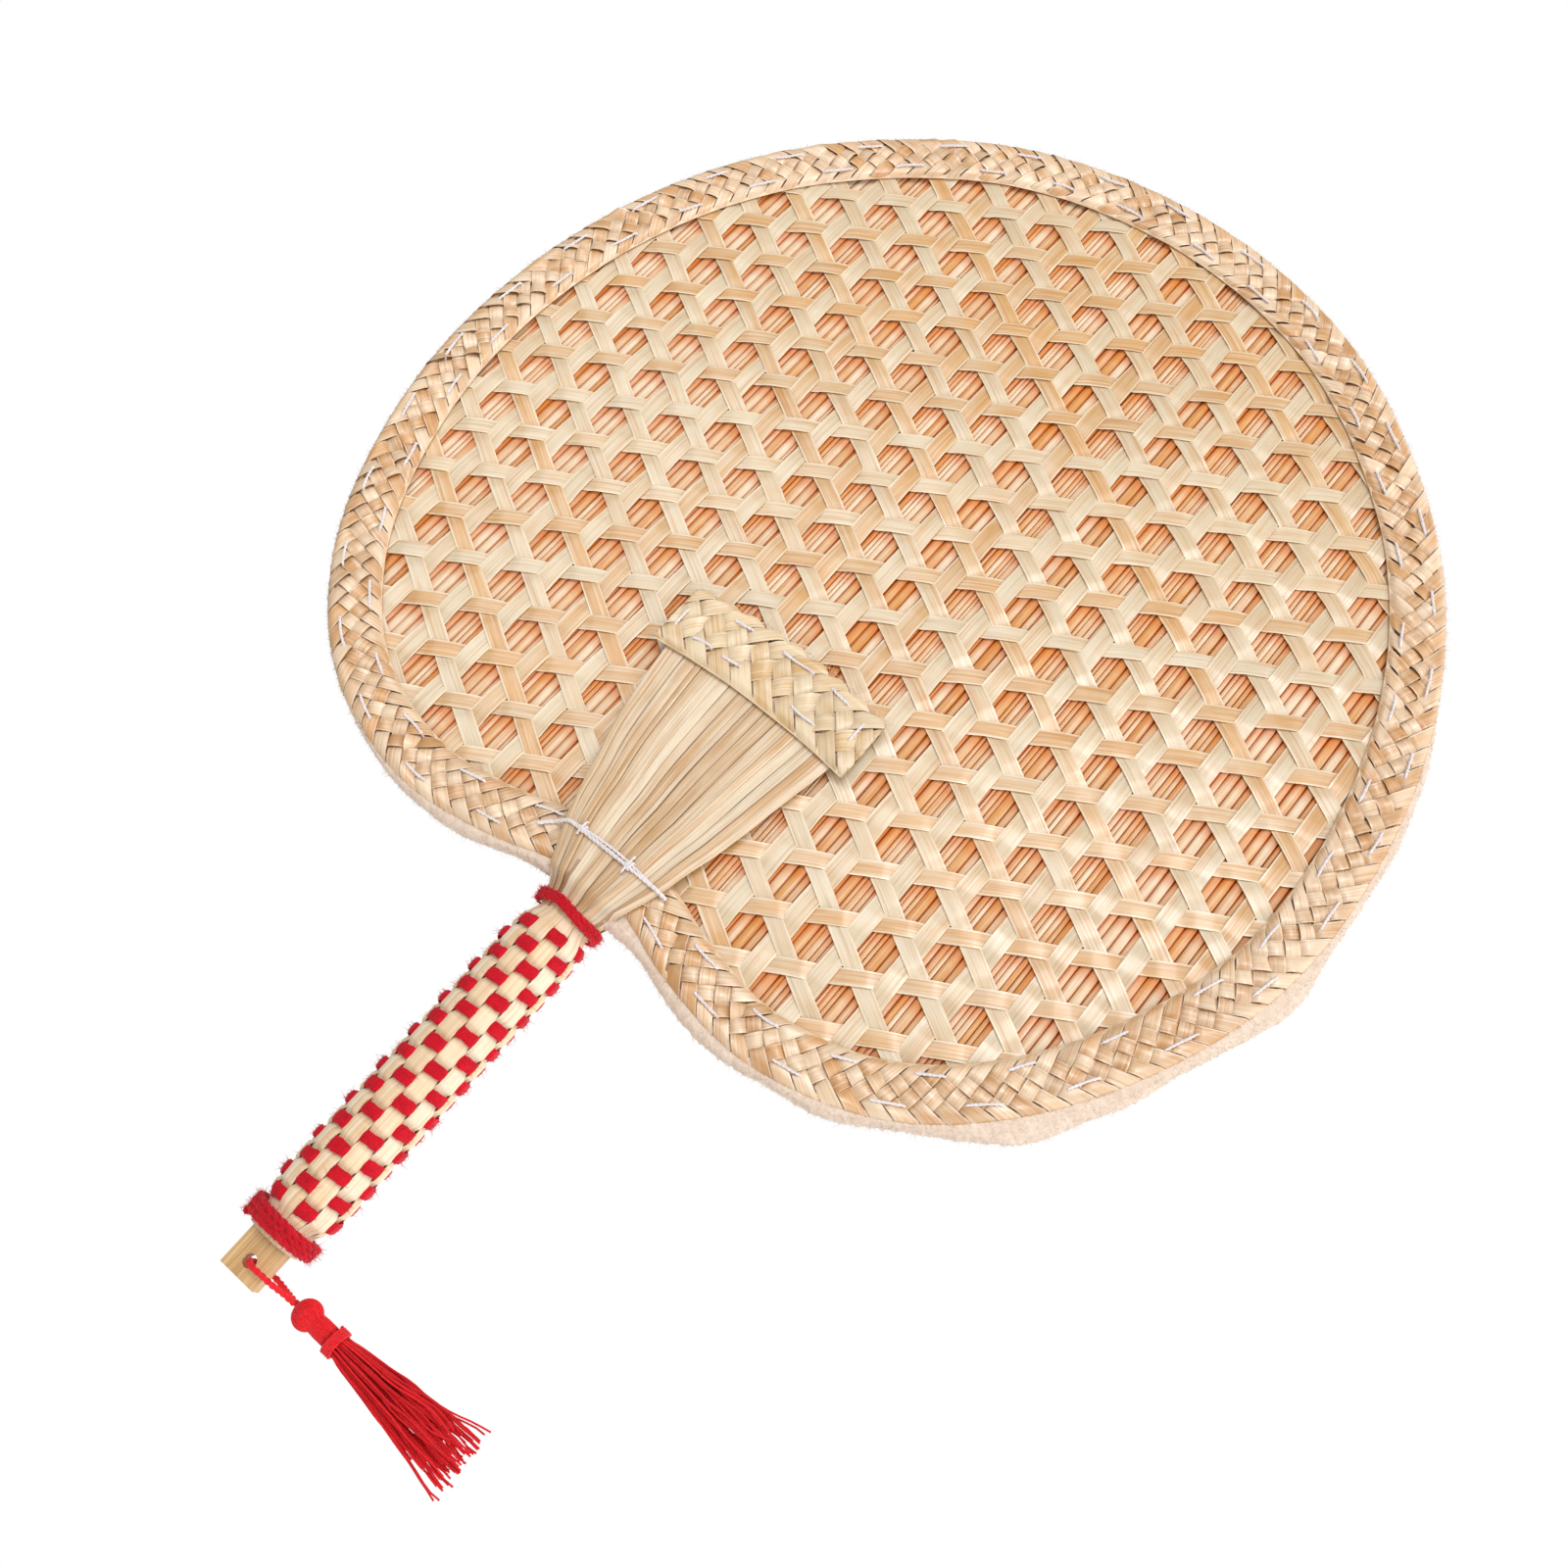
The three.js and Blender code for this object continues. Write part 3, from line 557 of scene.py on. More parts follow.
def weave_family(family, seed):
    """One family of flat strips of the open weave, each over one family and under the other in turn."""
    strands = Strands(seed)
    rng = strands.rng
    middle = height_range("front_weave", FRONT)[0] + 0.25
    lift = section_lift(thickness=0.2, crown=0.03)
    way = np.array(STRIP_WAYS[family])
    square, first = strip_square(family)
    over_square, over_first = strip_square(STRIP_OVER[family])
    offsets = blade_edge @ square
    low = math.ceil((offsets.min() - first) / STRIP_SPACING)
    high = math.floor((offsets.max() - first) / STRIP_SPACING)
    for number in range(low, high + 1):
        offset = first + number * STRIP_SPACING
        crossing = (over_first - (over_square @ square) * offset) / (over_square @ way)
        depth = rng.uniform(0.65, 1.0) if rng.uniform() < STRIP_WARM[family] else rng.uniform(0.0, 0.35)
        bright = rng.uniform(0.92, 1.0)
        for start, end in spans(square * offset, way, blade_edge):
            along = np.arange(start, end, HEX_PITCH / 12)[:, None]
            sway = wander(rng, along, 70, 0.22)
            half = STRIP_WIDTHS[family] / 2 * rng.uniform(0.95, 1.05) * (1 + wander(rng, along, 60, 0.03))
            roll = wander(rng, along, 24, 0.05)
            wave = np.cos(TAU * (along - crossing) / HEX_PITCH)
            height = middle + STRIP_SWING * squarish(wave, 2.3)
            across = ACROSS * half
            beside = offset + sway + across
            rings = grid(square[0] * beside + way[0] * along, FRONT * (height + lift + roll * across),
                         square[1] * beside + way[1] * along)
            # Painted highlight along the strip's edges, paler and brighter than the strip, and painted shade where it
            # dips under another strip.
            deep = depth + wander(rng, along, 50, 0.12) - 0.9 * EDGES
            under = np.clip(-wave, 0, 1)
            tone = toned(deep, bright + 0.12 * EDGES, 0.1 * under**2, 1.15)
            strands.add(rings, along, across, tone)
    strands.piece("strips_" + family, STRIP, "strip", "front_weave")


# A flat braid of five strands.
BRAID_STRANDS = 5
BRAID_ALONG = 22


def plait(strands, place, start, count, pitch, middle, swing, hand, shade, bulge, ends=None):
    """A flat braid. place(along, across, height) puts it in space, and across runs over the width from one edge.
    The strands that lie on top at that edge lean towards hand as they cross. Their turns at the other edge are
    rounded, and drawn in by bulge between one and the next. ends trims an open braid."""
    rng = strands.rng
    lean = BRAID_STRANDS * pitch / (2 * BRAID_WIDTH)
    slant = math.hypot(1, lean)
    crossing = BRAID_WIDTH / BRAID_STRANDS * slant
    lift = section_lift(thickness=0.3, crown=0.11)
    strand_tones = rng.uniform(0.0, 0.7, BRAID_STRANDS)
    share = np.linspace(0, 1, BRAID_ALONG)[:, None]
    for turn, way in ((1, hand), (-1, -hand)):
        for number in range(count):
            origin = start + number * pitch
            side = ACROSS * pitch / 2 * rng.uniform(0.88, 0.98)
            near, far = 0.0, BRAID_WIDTH
            if ends is not None:
                bounds = np.sort([(end - origin - side) / (way * lean) for end in ends], axis=0)
                near, far = np.clip(bounds, 0, BRAID_WIDTH)
                if (far - near).max() < 1.0:
                    continue
            across = near + share * (far - near)
            along = origin + way * lean * across + side
            travel = (way * lean * (along - origin) + across) / slant
            held = np.clip(travel, crossing, (BRAID_STRANDS - 1) * crossing)
            wave = -turn * np.cos(math.pi * held / crossing)
            fold = np.clip(np.minimum(across, BRAID_WIDTH - across), 0, 1)
            fold = fold * (2 - fold)
            height = middle + swing * squarish(wave, 2.2) * fold
            tilt = rng.normal(0, 0.1) * ACROSS * pitch / 2
            rounded = across - bulge * ACROSS**2 * np.exp((across - BRAID_WIDTH) / 0.9)
            rings = place(along, rounded, height + lift * (0.35 + 0.65 * fold) + tilt * fold)
            # Painted highlight: the strand's edges are paler. Painted shade: a dark line along one edge, and where the
            # strand dips under the others.
            deep = strand_tones[number % BRAID_STRANDS] + rng.uniform(-0.45, 0.55) - 0.5 * EDGES
            deep = deep + wander(rng, travel.mean(1), 9, 0.25)[:, None]
            under = np.clip(0.1 - wave, 0, 1)
            tone = toned(deep, rng.uniform(0.88, 1.0), shade * (under**1.5 + 0.5 * LEFT))
            strands.add(rings, travel, side, tone)


# How far a rim braid's inner edge is drawn down to the blade, and its outer edge round the padding.
RIM_INNER_DROP = {FRONT: 1.2, BACK: 0.6}
RIM_OUTER_DROP = 0.4


def rim_place(face):
    """Puts a braid on the rim of one face: across runs inwards from the outline."""
    def place(along, across, height):
        x, z = outline.at(along, -across)
        drop = RIM_INNER_DROP[face] * np.clip((across - 5) / (BRAID_WIDTH - 5), 0, 1) ** 2
        drop = drop + RIM_OUTER_DROP * np.clip(1 - across / 2.5, 0, 1) ** 2
        return grid(x, face * (height - drop), z)
    return place


def edge_tape(strands, place, along, across, middle, joined):
    """The strands that turn back under a braid's edge, seen between the loops as one flat tape."""
    angle = TAU * np.arange(8) / 8
    along = along[:, None]
    spread = across + 0.6 * np.cos(angle) + wander(strands.rng, along, 30, 0.06)
    rings = place(along, spread, middle + 0.22 * np.sin(angle))
    tone = toned(0.2 + wander(strands.rng, along, 14, 0.4), 1.0, 0.0)
    strands.add(rings, along, angle, tone, joined=joined)


def rim(face, seed):
    strands = Strands(seed)
    node = SIDES[face] + "_rim_braid"
    middle = sum(height_range(node, face)) / 2 - 0.05
    count = BRAID_STRANDS * round(outline.length / (BRAID_STRANDS * RIM_PITCH))
    place = rim_place(face)
    plait(strands, place, 0.0, count, outline.length / count, middle, swing=0.5, hand=face, shade=0.65, bulge=0.3)
    along = np.linspace(0, outline.length, 4 * count, endpoint=False)
    edge_tape(strands, place, along, 0.9, middle - 0.12, True)
    edge_tape(strands, place, along, BRAID_WIDTH - 0.5, middle - 0.05, True)
    strands.piece(SIDES[face] + "_rim_plait", BRAID, "braid", node)


def dive(share, edge):
    """How far a stitch has come up out of the braid, at shares of its length. edge is the share it takes to rise."""
    return np.sin(np.clip(np.minimum(share, 1 - share) / edge, 0, 1) * math.pi / 2)


def stitch(strands, place, start, end, across, surface):
    """One running stitch of thread that dives into the braid at both ends."""
    slip = strands.rng.uniform(-0.35, 0.35)
    share = np.linspace(0, 1, 11)
    along = start + (end - start) * (0.04 + 0.92 * share)
    height = surface - 1.1 + (1.1 + 0.6 * STITCH_RADIUS) * dive(share, 0.1)
    sag = strands.rng.uniform(-0.3, 0.3) * np.sin(math.pi * share)
    add_thread(strands, place(along, across + slip * (share - 0.5) * 2 + sag, height), STITCH_RADIUS)


def rim_stitches(face, seed):
    strands = Strands(seed)
    surface = height_range(SIDES[face] + "_rim_braid", face)[1]
    repeats = round(outline.length / STITCH_PERIOD)
    for across, phase in ((3.4, 0.0), (BRAID_WIDTH - 2.6, 0.5)):
        for number in range(repeats):
            start = (number + phase) * outline.length / repeats + strands.rng.uniform(-1.5, 1.5)
            stitch(strands, rim_place(face), start, start + strands.rng.uniform(8.2, 11), across, surface)
    strands.piece(SIDES[face] + "_rim_stitches", WHITE, "white_thread")


# How far the padding stands proud of the braids, by the angle from the tip.
PADDING_PROUD = ((-180, 4.2), (-170, 3.4), (-163, 4.0), (-157, 1.2), (-150, 2.2), (-140, 3.8), (-130, 4.2),
                 (-118, 3.6), (-105, 2.9), (-90, 2.0), (-75, 0.9), (-60, 0.3), (0, 0.2), (125, 0.2),
                 (150, 0.3), (157, 0.9), (164, 2.4), (171, 3.6), (180, 4.0))


def padding():
    """Soft fibre between the two braids. It stands proud of them in uneven lumps, most of all on the lower lobe."""
    strands = Strands(51)
    rng = strands.rng
    front = height_range("front_rim_braid", FRONT)[0] + CLEARANCE
    back = height_range("edge_padding", FRONT)[0]
    along = np.linspace(0, outline.length, 1500, endpoint=False)
    x, z = outline.at(along, 0)
    proud = np.interp(np.degrees(np.arctan2(z, x - BLADE_X)), *zip(*PADDING_PROUD))
    proud = proud * np.clip(0.95 + wander(rng, along, 60, 0.6), 0.15, 1.5) + wander(rng, along, 7, 0.04) * proud
    proud = np.convolve(np.pad(np.maximum(proud, 0.2), 10, "wrap"), np.ones(21) / 21, "valid")
    along = along[:, None]
    middle, half = (front + back) / 2, (front - back) / 2
    arc = np.linspace(-math.pi / 2, math.pi / 2, 9)
    outset = proud[:, None] * np.append(np.cos(arc) ** 0.7, [0, 0]) - 3.2 * np.append(np.zeros(9), [1, 1])
    height = middle + half * np.append(np.sin(arc), [1, -1])
    px, pz = outline.at(along, outset + rng.normal(0, 0.16, outset.shape))
    rings = grid(px, FRONT * (height + rng.normal(0, 0.06, outset.shape)), pz)
    tone = toned(0.0, 1.0, rng.uniform(-0.1, 0.35, outset.shape))
    strands.add(rings, along, np.linspace(0, 10, 11), tone, 3.0, True)
    inside_x, inside_z = outline.at(along, outset - 1)
    outward = grid(px - inside_x, FRONT * 0.6 * np.sign(height - middle), pz - inside_z)
    add_fuzz(strands, rings[:, :9].reshape(-1, 3), outward[:, :9].reshape(-1, 3), 10000, 0.8)
    piece = strands.piece("edge_fibre", FIBRE, "padding", "edge_padding", sharp=180)


# Straws that fan out of the neck. Distances are past the neck, and heights are off the middle plane.
SPLAY_END = 86.0
SPLAY_STRAWS = 20
STRAW_THICKNESS = 0.3
SPLAY_PARTING = 0.1
TIE_PAST = 16.7
SPLAY_WIDTHS = ((-3.0, 7.4), (1.0, 8.2), (3.0, 9.2), (16.7, 15.2), (42.0, 21.9), (63.0, 25.6), (86.0, 28.5))
SPLAY_LEANS = ((6.0, 0.0), (16.7, 0.3), (42.0, 2.0), (86.0, 1.4))


def smoothed(past, stations, shifts):
    """What the stations give at some distance past the neck, as a mean over shifts to either side."""
    return np.interp(np.asarray(past, float)[..., None] + shifts, *zip(*stations)).mean(-1)


def splay_half_width(past):
    return smoothed(past, SPLAY_WIDTHS, np.linspace(-3, 3, 7))


def splay_lean(past):
    """How far the middle of the fanned straws stands above the grip's axis."""
    return smoothed(past, SPLAY_LEANS, np.linspace(-8, 8, 9))


def splay_section(face, past):
    """Inner height, outer height and squareness of the fanned straws."""
    on_rim = height_range(SIDES[face] + "_rim_braid", face)[1] + CLEARANCE
    on_blade = height_range("front_weave" if face == FRONT else "stalk_layer", face)[1] + CLEARANCE
    stations = [-3.0, 3.0, 4.5, 6.0, 9.5, 16.7, 24.2, 32.2, SPLAY_END]
    inner = [0.15, 0.15, 1.5, on_rim, on_rim, on_rim, on_rim, on_blade, on_blade]
    heel = max(7.2, on_rim + 1.5)
    outer = [5.9, 5.9, 6.5, heel, heel, on_rim + 1.95, on_rim + 1.5, on_blade + 1.5, on_blade + 1.5]
    share = np.clip((past - 3.0) / 21.2, 0, 1)
    return np.interp(past, stations, inner), np.interp(past, stations, outer), 2 + 6 * share**2


def splay_surface(face, past, share):
    """Height of the fanned straws' upper side at a share of their half width."""
    inner, outer, power = splay_section(face, past)
    crown = (1 - np.minimum(np.abs(share), 0.999) ** power) ** (1 / power)
    return inner + (outer - inner) * crown


def fanned_straws(face, seed):
    """Two layers of flattened straws. They lie side by side at their ends and pile up over each other at the neck."""
    strands = Strands(seed)
    rng = strands.rng
    past = np.concatenate([np.linspace(-1.8, 9, 13), np.linspace(11, SPLAY_END - 2, 26)])[:, None]
    gather = np.clip((22 - past) / 22, 0, 1)
    parting = 0.05 * np.clip((20 - past) / 20, 0, 1)
    half_width = splay_half_width(past)
    step = 0.02
    for layer in (0, 1):
        widths = rng.uniform(0.5, 1.7, SPLAY_STRAWS)
        edges = np.append(0, np.cumsum(widths)) / widths.sum() * 2 - 1
        levels = rng.permutation(SPLAY_STRAWS) % 3
        for left, right, level in zip(edges, edges[1:], levels):
            place = (left + right) / 2 * (1 - 0.012 * layer) + wander(rng, past, 90, 0.004)
            share = place + parting * np.sign(place - SPLAY_PARTING) * (1 - np.abs(place)) * (1 - layer)
            slope = splay_surface(face, past, share + step) - splay_surface(face, past, share - step)
            slope = np.clip(slope / (2 * step * half_width), -2.5, 2.5)
            run = 1 / np.sqrt(1 + slope**2)
            spread = (right - left) / 2 * half_width * 1.06
            half = np.sqrt(spread**2 + 0.8**2 * gather) - rng.uniform(0.0, 0.16) * (1 - gather) * (1 - layer)
            tuck = 0.35 + 0.5 * layer + level * (0.12 + 0.25 * gather)
            lift = section_lift(STRAW_THICKNESS, rng.uniform(0.05, 0.18)) + rng.uniform(-0.16, 0.16) * ACROSS - tuck
            crease = rng.uniform(-0.4, 0.4) if rng.uniform() < 0.4 else 2.0
            lift = lift - 0.084 * ON_TOP * np.exp(-(((ACROSS - crease) / 0.25) ** 2))
            across = ACROSS * half * (1 + wander(rng, past, 40, 0.04))
            height = splay_surface(face, past, share) + run * (slope * across + lift)
            sideways = share * half_width + splay_lean(past) + run * (across - lift * slope)
            deep = rng.uniform(-0.1, 0.9) + wander(rng, past, 60, 0.12)
            bright = rng.uniform(0.92, 1.0)
            # Painted shade on the lower layer, along the straws' edges, and on straws piled under others near the
            # neck, less on the straws at the sides.
            shaded = 1 - 0.7 * np.clip((abs(place.mean()) - 0.7) / 0.2, 0, 1)
            shaded = shaded * (0.5 * layer + 0.9 * LEFT + 0.4 * RIGHT) + 0.1 * level * gather
            rings = grid(NECK_X + past, face * height, sideways)
            strands.add(rings, past, across, toned(deep, bright, shaded))
    strands.piece(SIDES[face] + "_straws", SPLAY, "splay_straw", SIDES[face] + "_splay")


# The short braid over the ends of the fanned straws.
BAND_HALF = 30.0
BAND_LEAN = 1.4
BAND_FOLD = 2.5
FOLD_RADIUS = 0.4


def band_place(face):
    """Puts the short braid in space: along runs up in z, across runs away from the neck, and its ends fold under."""
    node = SIDES[face] + "_splay_band"
    low, high = node_box(node)
    inner, outer = height_range(node, face)

    def place(along, across, height):
        beyond = np.maximum(np.abs(along) - BAND_HALF + FOLD_RADIUS, 0)
        turned = FOLD_RADIUS * np.sin(np.minimum(beyond, 0.8) * 2)
        z = np.sign(along) * (np.minimum(np.abs(along), BAND_HALF - FOLD_RADIUS) + turned)
        z = z - np.sign(along) * np.maximum(beyond - 0.8, 0) * 0.8
        drop = 0.9 * (1 - np.cos(np.minimum(beyond, 1.2) / 1.2 * math.pi / 2))
        arch = 1 - (z / BAND_HALF) ** 2
        near = low[0] + 2 * arch
        far = high[0] - 3 * (1 - arch)
        x = near + (far - near) * across / BRAID_WIDTH
        return grid(x, face * np.maximum(height - drop, inner + 0.1), z + BAND_LEAN)
    return place, inner, outer


def band(face, seed):
    strands = Strands(seed)
    place, inner, outer = band_place(face)
    reach = BAND_HALF + BAND_FOLD
    start = -reach - BRAID_WIDTH * 1.5
    count = int((2 * reach + 3 * BRAID_WIDTH) / BAND_PITCH) + 1
    middle = (inner + outer) / 2 - 0.25
    plait(strands, place, start, count, BAND_PITCH, middle, swing=0.45, hand=-face, shade=0.5, bulge=0.9,
          ends=(-reach, reach))
    along = np.linspace(-BAND_HALF + 0.5, BAND_HALF - 0.5, 90)
    edge_tape(strands, place, along, 0.35, middle - 0.1, False)
    top = place(along, BRAID_WIDTH, middle)
    add_fuzz(strands, top, np.tile((1.0, 0.0, 0.0), (len(top), 1)), 150, 1.3, 0.14, (0.1, 1.0, 0.0))
    strands.piece(SIDES[face] + "_band_plait", BAND, "braid", SIDES[face] + "_splay_band")


def band_stitches(face, seed):
    strands = Strands(seed)
    place, _, outer = band_place(face)
    upper, lower = BRAID_WIDTH * 0.8, BRAID_WIDTH * 0.26
    for start, end, across in ((11, 17, upper), (-8, 3, upper), (-20, -13, upper),
                               (16, 22, lower), (7, 13, lower), (-17, -8, lower)):
        stitch(strands, place, start, end, across, outer - 0.25)
    share = np.linspace(0, 1, 11)
    height = outer - 1.35 + 1.35 * dive(share, 0.14)
    for along, low, high in ((-25.5, 0.4, 0.78), (27.5, 0.28, 0.62)):
        add_thread(strands, place(along, BRAID_WIDTH * (low + (high - low) * share), height), 0.42)
    strands.piece(SIDES[face] + "_band_stitches", WHITE, "white_thread")


def tie_thread():
    """White thread laid twice across the fanned straws, with two knots and their loose ends."""
    strands = Strands(71)
    past, radius = TIE_PAST, 0.58
    _, high = node_box("splay_thread")
    floor = height_range("front_rim_braid", FRONT)[1] + radius
    z = np.linspace(-16.2, high[2], 60)
    for line, shift in enumerate((0.0, 0.5)):
        share = (z - splay_lean(past)) / splay_half_width(past)
        over = splay_surface(FRONT, past, np.clip(share, -1, 1)) + radius * (0.85 + 0.4 * line)
        height = np.where(np.abs(share) < 0.995, over, floor)
        height = np.convolve(np.pad(height, 2, "edge"), np.ones(5) / 5, "valid")
        turned = shift * (1 + np.cos(z / 5.3)) * line - 5.5 * (np.clip(z - 13, 0, 7) / 7) ** 1.5
        path = grid(NECK_X + past - 0.4 + turned, -height, z)
        add_plies(strands, path, radius * (1 - 0.35 * line), 2, 2.6, (0.3, 1.0, 0.0))
    for place_z, size in ((9.6, 0.75), (-4.8, 1.0)):
        top = float(splay_surface(FRONT, past, place_z / splay_half_width(past)))
        angle = np.linspace(0, 2.5 * TAU, 34)
        knot = grid(NECK_X + past + size * np.cos(angle), -(top + 0.5 + 0.6 * np.sin(angle)),
                    place_z + 0.7 * np.sin(angle * 0.4))
        add_thread(strands, knot, 0.36, 6)
        for way in (size, -size):
            tail = spline([(NECK_X + past, -(top + 0.6), place_z),
                           (NECK_X + past + 1.3 * way, -(top + 0.8), place_z + 0.3),
                           (NECK_X + past + 2.5 * way, -(top + 0.4), place_z + 0.3)], 5)
            add_plies(strands, tail, 0.36, 2, 2.0, (0.3, 1.0, 0.0), 5)
    strands.piece("tie_thread", WHITE, "white_thread", "splay_thread")


# The grip: straws lengthwise round an oval, woven with a spiral of yarn.
GRIP_STATIONS = (-47.0, -41.5, -38.7, -32.7, 35.7, 41.7, 44.5, 50.0)
GRIP_WIDTHS = (7.6, 7.6, 9.25, 9.75, 9.75, 9.2, 7.9, 7.6)
GRIP_DEPTHS = (6.2, 6.2, 7.0, 7.5, 7.5, 7.0, 6.5, 6.2)
WEFT_PITCH = 4.9
WEFT_START = -39.4
GRIP_GIRTH = 54.3
WEFT_TURN = 54.0
oval_angle = np.linspace(0, TAU, 721)
oval_along = path_lengths(np.stack([7.5 * np.sin(oval_angle), 9.75 * np.cos(oval_angle)], -1))
oval_along /= oval_along[-1]


def grip_place(x, share, inset):
    """A point on the grip: a share of the way round it, and a depth under its outer surface."""
    angle = np.interp(np.mod(share, 1.0), oval_along, oval_angle)
    half_width = np.interp(x, GRIP_STATIONS, GRIP_WIDTHS) - inset
    half_depth = np.interp(x, GRIP_STATIONS, GRIP_DEPTHS) - inset
    return grid(x, -half_depth * np.sin(angle), half_width * np.cos(angle))


def grip_warps():
    strands = Strands(81)
    rng = strands.rng
    x = np.arange(-46.9, 47.6, 0.5)[:, None]
    inside = np.clip(np.minimum(x - WEFT_START + 2, 43.0 - x) / 2.5, 0, 1)
    depth = np.where(ON_TOP, -0.1 * (1 - ACROSS**2), 0.3)
    for warp in range(WARPS):
        centre = (warp + 0.5) / WARPS
        wave = np.cos(math.pi * ((x - WEFT_START) / WEFT_PITCH - centre + warp))
        inset = 0.66 - 0.34 * squarish(wave, 4.5) * inside
        under = np.clip(-wave, 0, 1)
        for left, right in ((-0.5, 0.5),) if rng.uniform() < 0.35 else ((-0.5, 0.04), (0.0, 0.5)):
            half = (right - left) / 2 * 0.98 / WARPS
            share = centre + (left + right) / 2 / WARPS + wander(rng, x, 60, 0.001) + ACROSS * half
            rings = grip_place(x, share, inset + 0.3 + depth)
            # Painted shade where the warp dips under the weft, and along its edges.
            tone = toned(rng.uniform(0, 0.6), rng.uniform(0.94, 1.0),
                         0.7 * under**2 * inside + 0.5 * LEFT + 0.3 * RIGHT)
            strands.add(rings, x, ACROSS * half * GRIP_GIRTH, tone)
    # The core under the warps is darkened with painted shade, for the shade inside the grip.
    core_x = np.array([-46.8, -40.7, -38.7, -32.7, 35.7, 41.7, 46.0])[:, None]
    core_share = np.arange(32) / 32
    strands.add(grip_place(core_x, core_share, 1.9), core_x, core_share * GRIP_GIRTH, (0.8, 0.6, 0.9), 5.0)
    strands.piece("grip_straws", WARP, "splay_straw", "grip_sleeve")


def grip_weft():
    strands = Strands(82)
    rng = strands.rng
    theta = np.arange(0, (41.6 - WEFT_START) / WEFT_PITCH, 1 / (WARPS * 12))[:, None]
    travel = theta * WEFT_TURN
    wave = np.cos(math.pi * (WARPS * theta - 0.5))
    x = WEFT_START + WEFT_PITCH * theta + wander(rng, travel, 30, 0.12)
    angle = TAU * np.arange(8) / 8
    half_width = 1.55 * (1 + wander(rng, travel, 13, 0.12) + wander(rng, travel, 3, 0.06))
    depth = 0.82 + 0.45 * squarish(wave, 4.0) - 0.42 * np.sin(angle)
    rings = grip_place(x + half_width * np.cos(angle), theta, depth)
    # Painted shade where the yarn passes under the warps.
    strands.add(rings, travel, 1.5 * np.cos(angle), toned(0.0, 1.0, 0.4 * np.clip(wave, 0, 1)), 4.0)
    shown = rings[:, 1:4][wave[:, 0] < 0].reshape(-1, 3)
    add_fuzz(strands, shown, shown * (0.0, 1.0, 1.0), 2200, 0.9)
    strands.piece("grip_weft", CRIMSON, "crimson_yarn")


def yarn_binding(place, low, high, radius, peak, seed):
    """Crimson yarn wound close round the bound straws, with loose fibres. Peak draws it up the blade at the front."""
    strands = Strands(seed)
    turns = 3
    angle = np.linspace(-0.4, TAU * turns + 0.4, 200)
    travel = np.clip(angle / (TAU * turns), 0, 1)
    x = low + radius + (high - low - 2 * radius) * travel + wander(strands.rng, angle * 8, 40, 0.18)
    x = x + peak * np.clip(-np.sin(angle - 0.25), 0, 1) ** 8
    swell = 0.16 * np.sin(angle * 1.7)
    path = grid(x, (7.25 + swell) * np.sin(angle), (8.6 + swell) * np.cos(angle))
    add_plies(strands, path, radius, 3, 6.0, (0.0, 1.0, 0.0), 7)
    surface = tube(path, radius, 8).reshape(-1, 3)
    add_fuzz(strands, surface, surface * (0.0, 1.0, 1.0), 2200, 0.85)
    strands.piece(place + "_yarn", CRIMSON, "crimson_yarn", place + "_binding")


# The tassel, which hangs from the eye of the stick.
head_low, head_high = node_box("tassel_head")
HEAD_RADIUS = (head_high[0] - head_low[0]) / 2
HEAD_Z = head_high[2] - HEAD_RADIUS
WAIST_Z = head_low[2]


def tassel_cord():
    """The loop of twisted cord through the eye, as its solid runs."""
    strands = Strands(91)
    side = [(0, 0), (2, 0), (4.1, -0.9), (5, -3), (4.25, -7.315), (1.5, -11.305), (0.9, -13.3)]
    knots = [(EYE_X, -y, z) for y, z in reversed(side[1:])] + [(EYE_X, y, z) for y, z in side]
    add_plies(strands, spline(knots, 8), 0.75, 2, 3.0, (0.1, 1.0, 0.0), 8)
    strands.piece("tassel_cord", RED, "red_thread", "tassel_loop", body="loop")


def tassel_crown():
    """The round head: threads laid down over it side by side, drawn in to the waist."""
    strands = Strands(92)
    rng = strands.rng
    angle = np.linspace(0.12, 1.0, 15) * math.radians(140)
    radius = np.append((HEAD_RADIUS - 0.3) * np.sin(angle), [2.1, 2.1])
    z = np.append(HEAD_Z + (HEAD_RADIUS - 0.3) * np.cos(angle), [HEAD_Z - HEAD_RADIUS - 0.6, WAIST_Z - 0.2])
    count = 34
    for number in range(count):
        turn = TAU * number / count + wander(rng, z, 12, 0.04)
        path = grid(EYE_X + radius * np.cos(turn), radius * np.sin(turn), z)
        shade = (0.0, 1.0, rng.uniform(0, 0.25))
        strands.add(tube(path, np.interp(radius, [0, 3], [0.16, 0.36])), path_lengths(path), np.arange(6) * 0.3, shade)
    # The core under the threads is darkened with painted shade.
    core = tube(grid(EYE_X, 0.0, z), radius * 0.96 + 0.02, 20)
    strands.add(core, z, np.arange(20) * 0.5, (0.0, 0.8, 0.6), 2.0)
    strands.piece("tassel_crown", RED, "red_thread", "tassel_head", body="tassel")


def tassel_band():
    """Thread wound round the waist of the tassel."""
    strands = Strands(93)
    low, high = node_box("tassel_wrap")
    angle = np.linspace(0, 4 * TAU, 150)
    z = np.linspace(high[2] - 0.45, low[2] + 0.45, 150)
    path = grid(EYE_X + 3.0 * np.cos(angle), 3.0 * np.sin(angle), z)
    add_plies(strands, path, 0.42, 2, 2.4, (0.1, 1.0, 0.0))
    strands.piece("tassel_band", RED, "red_thread", "tassel_wrap", body="tassel")


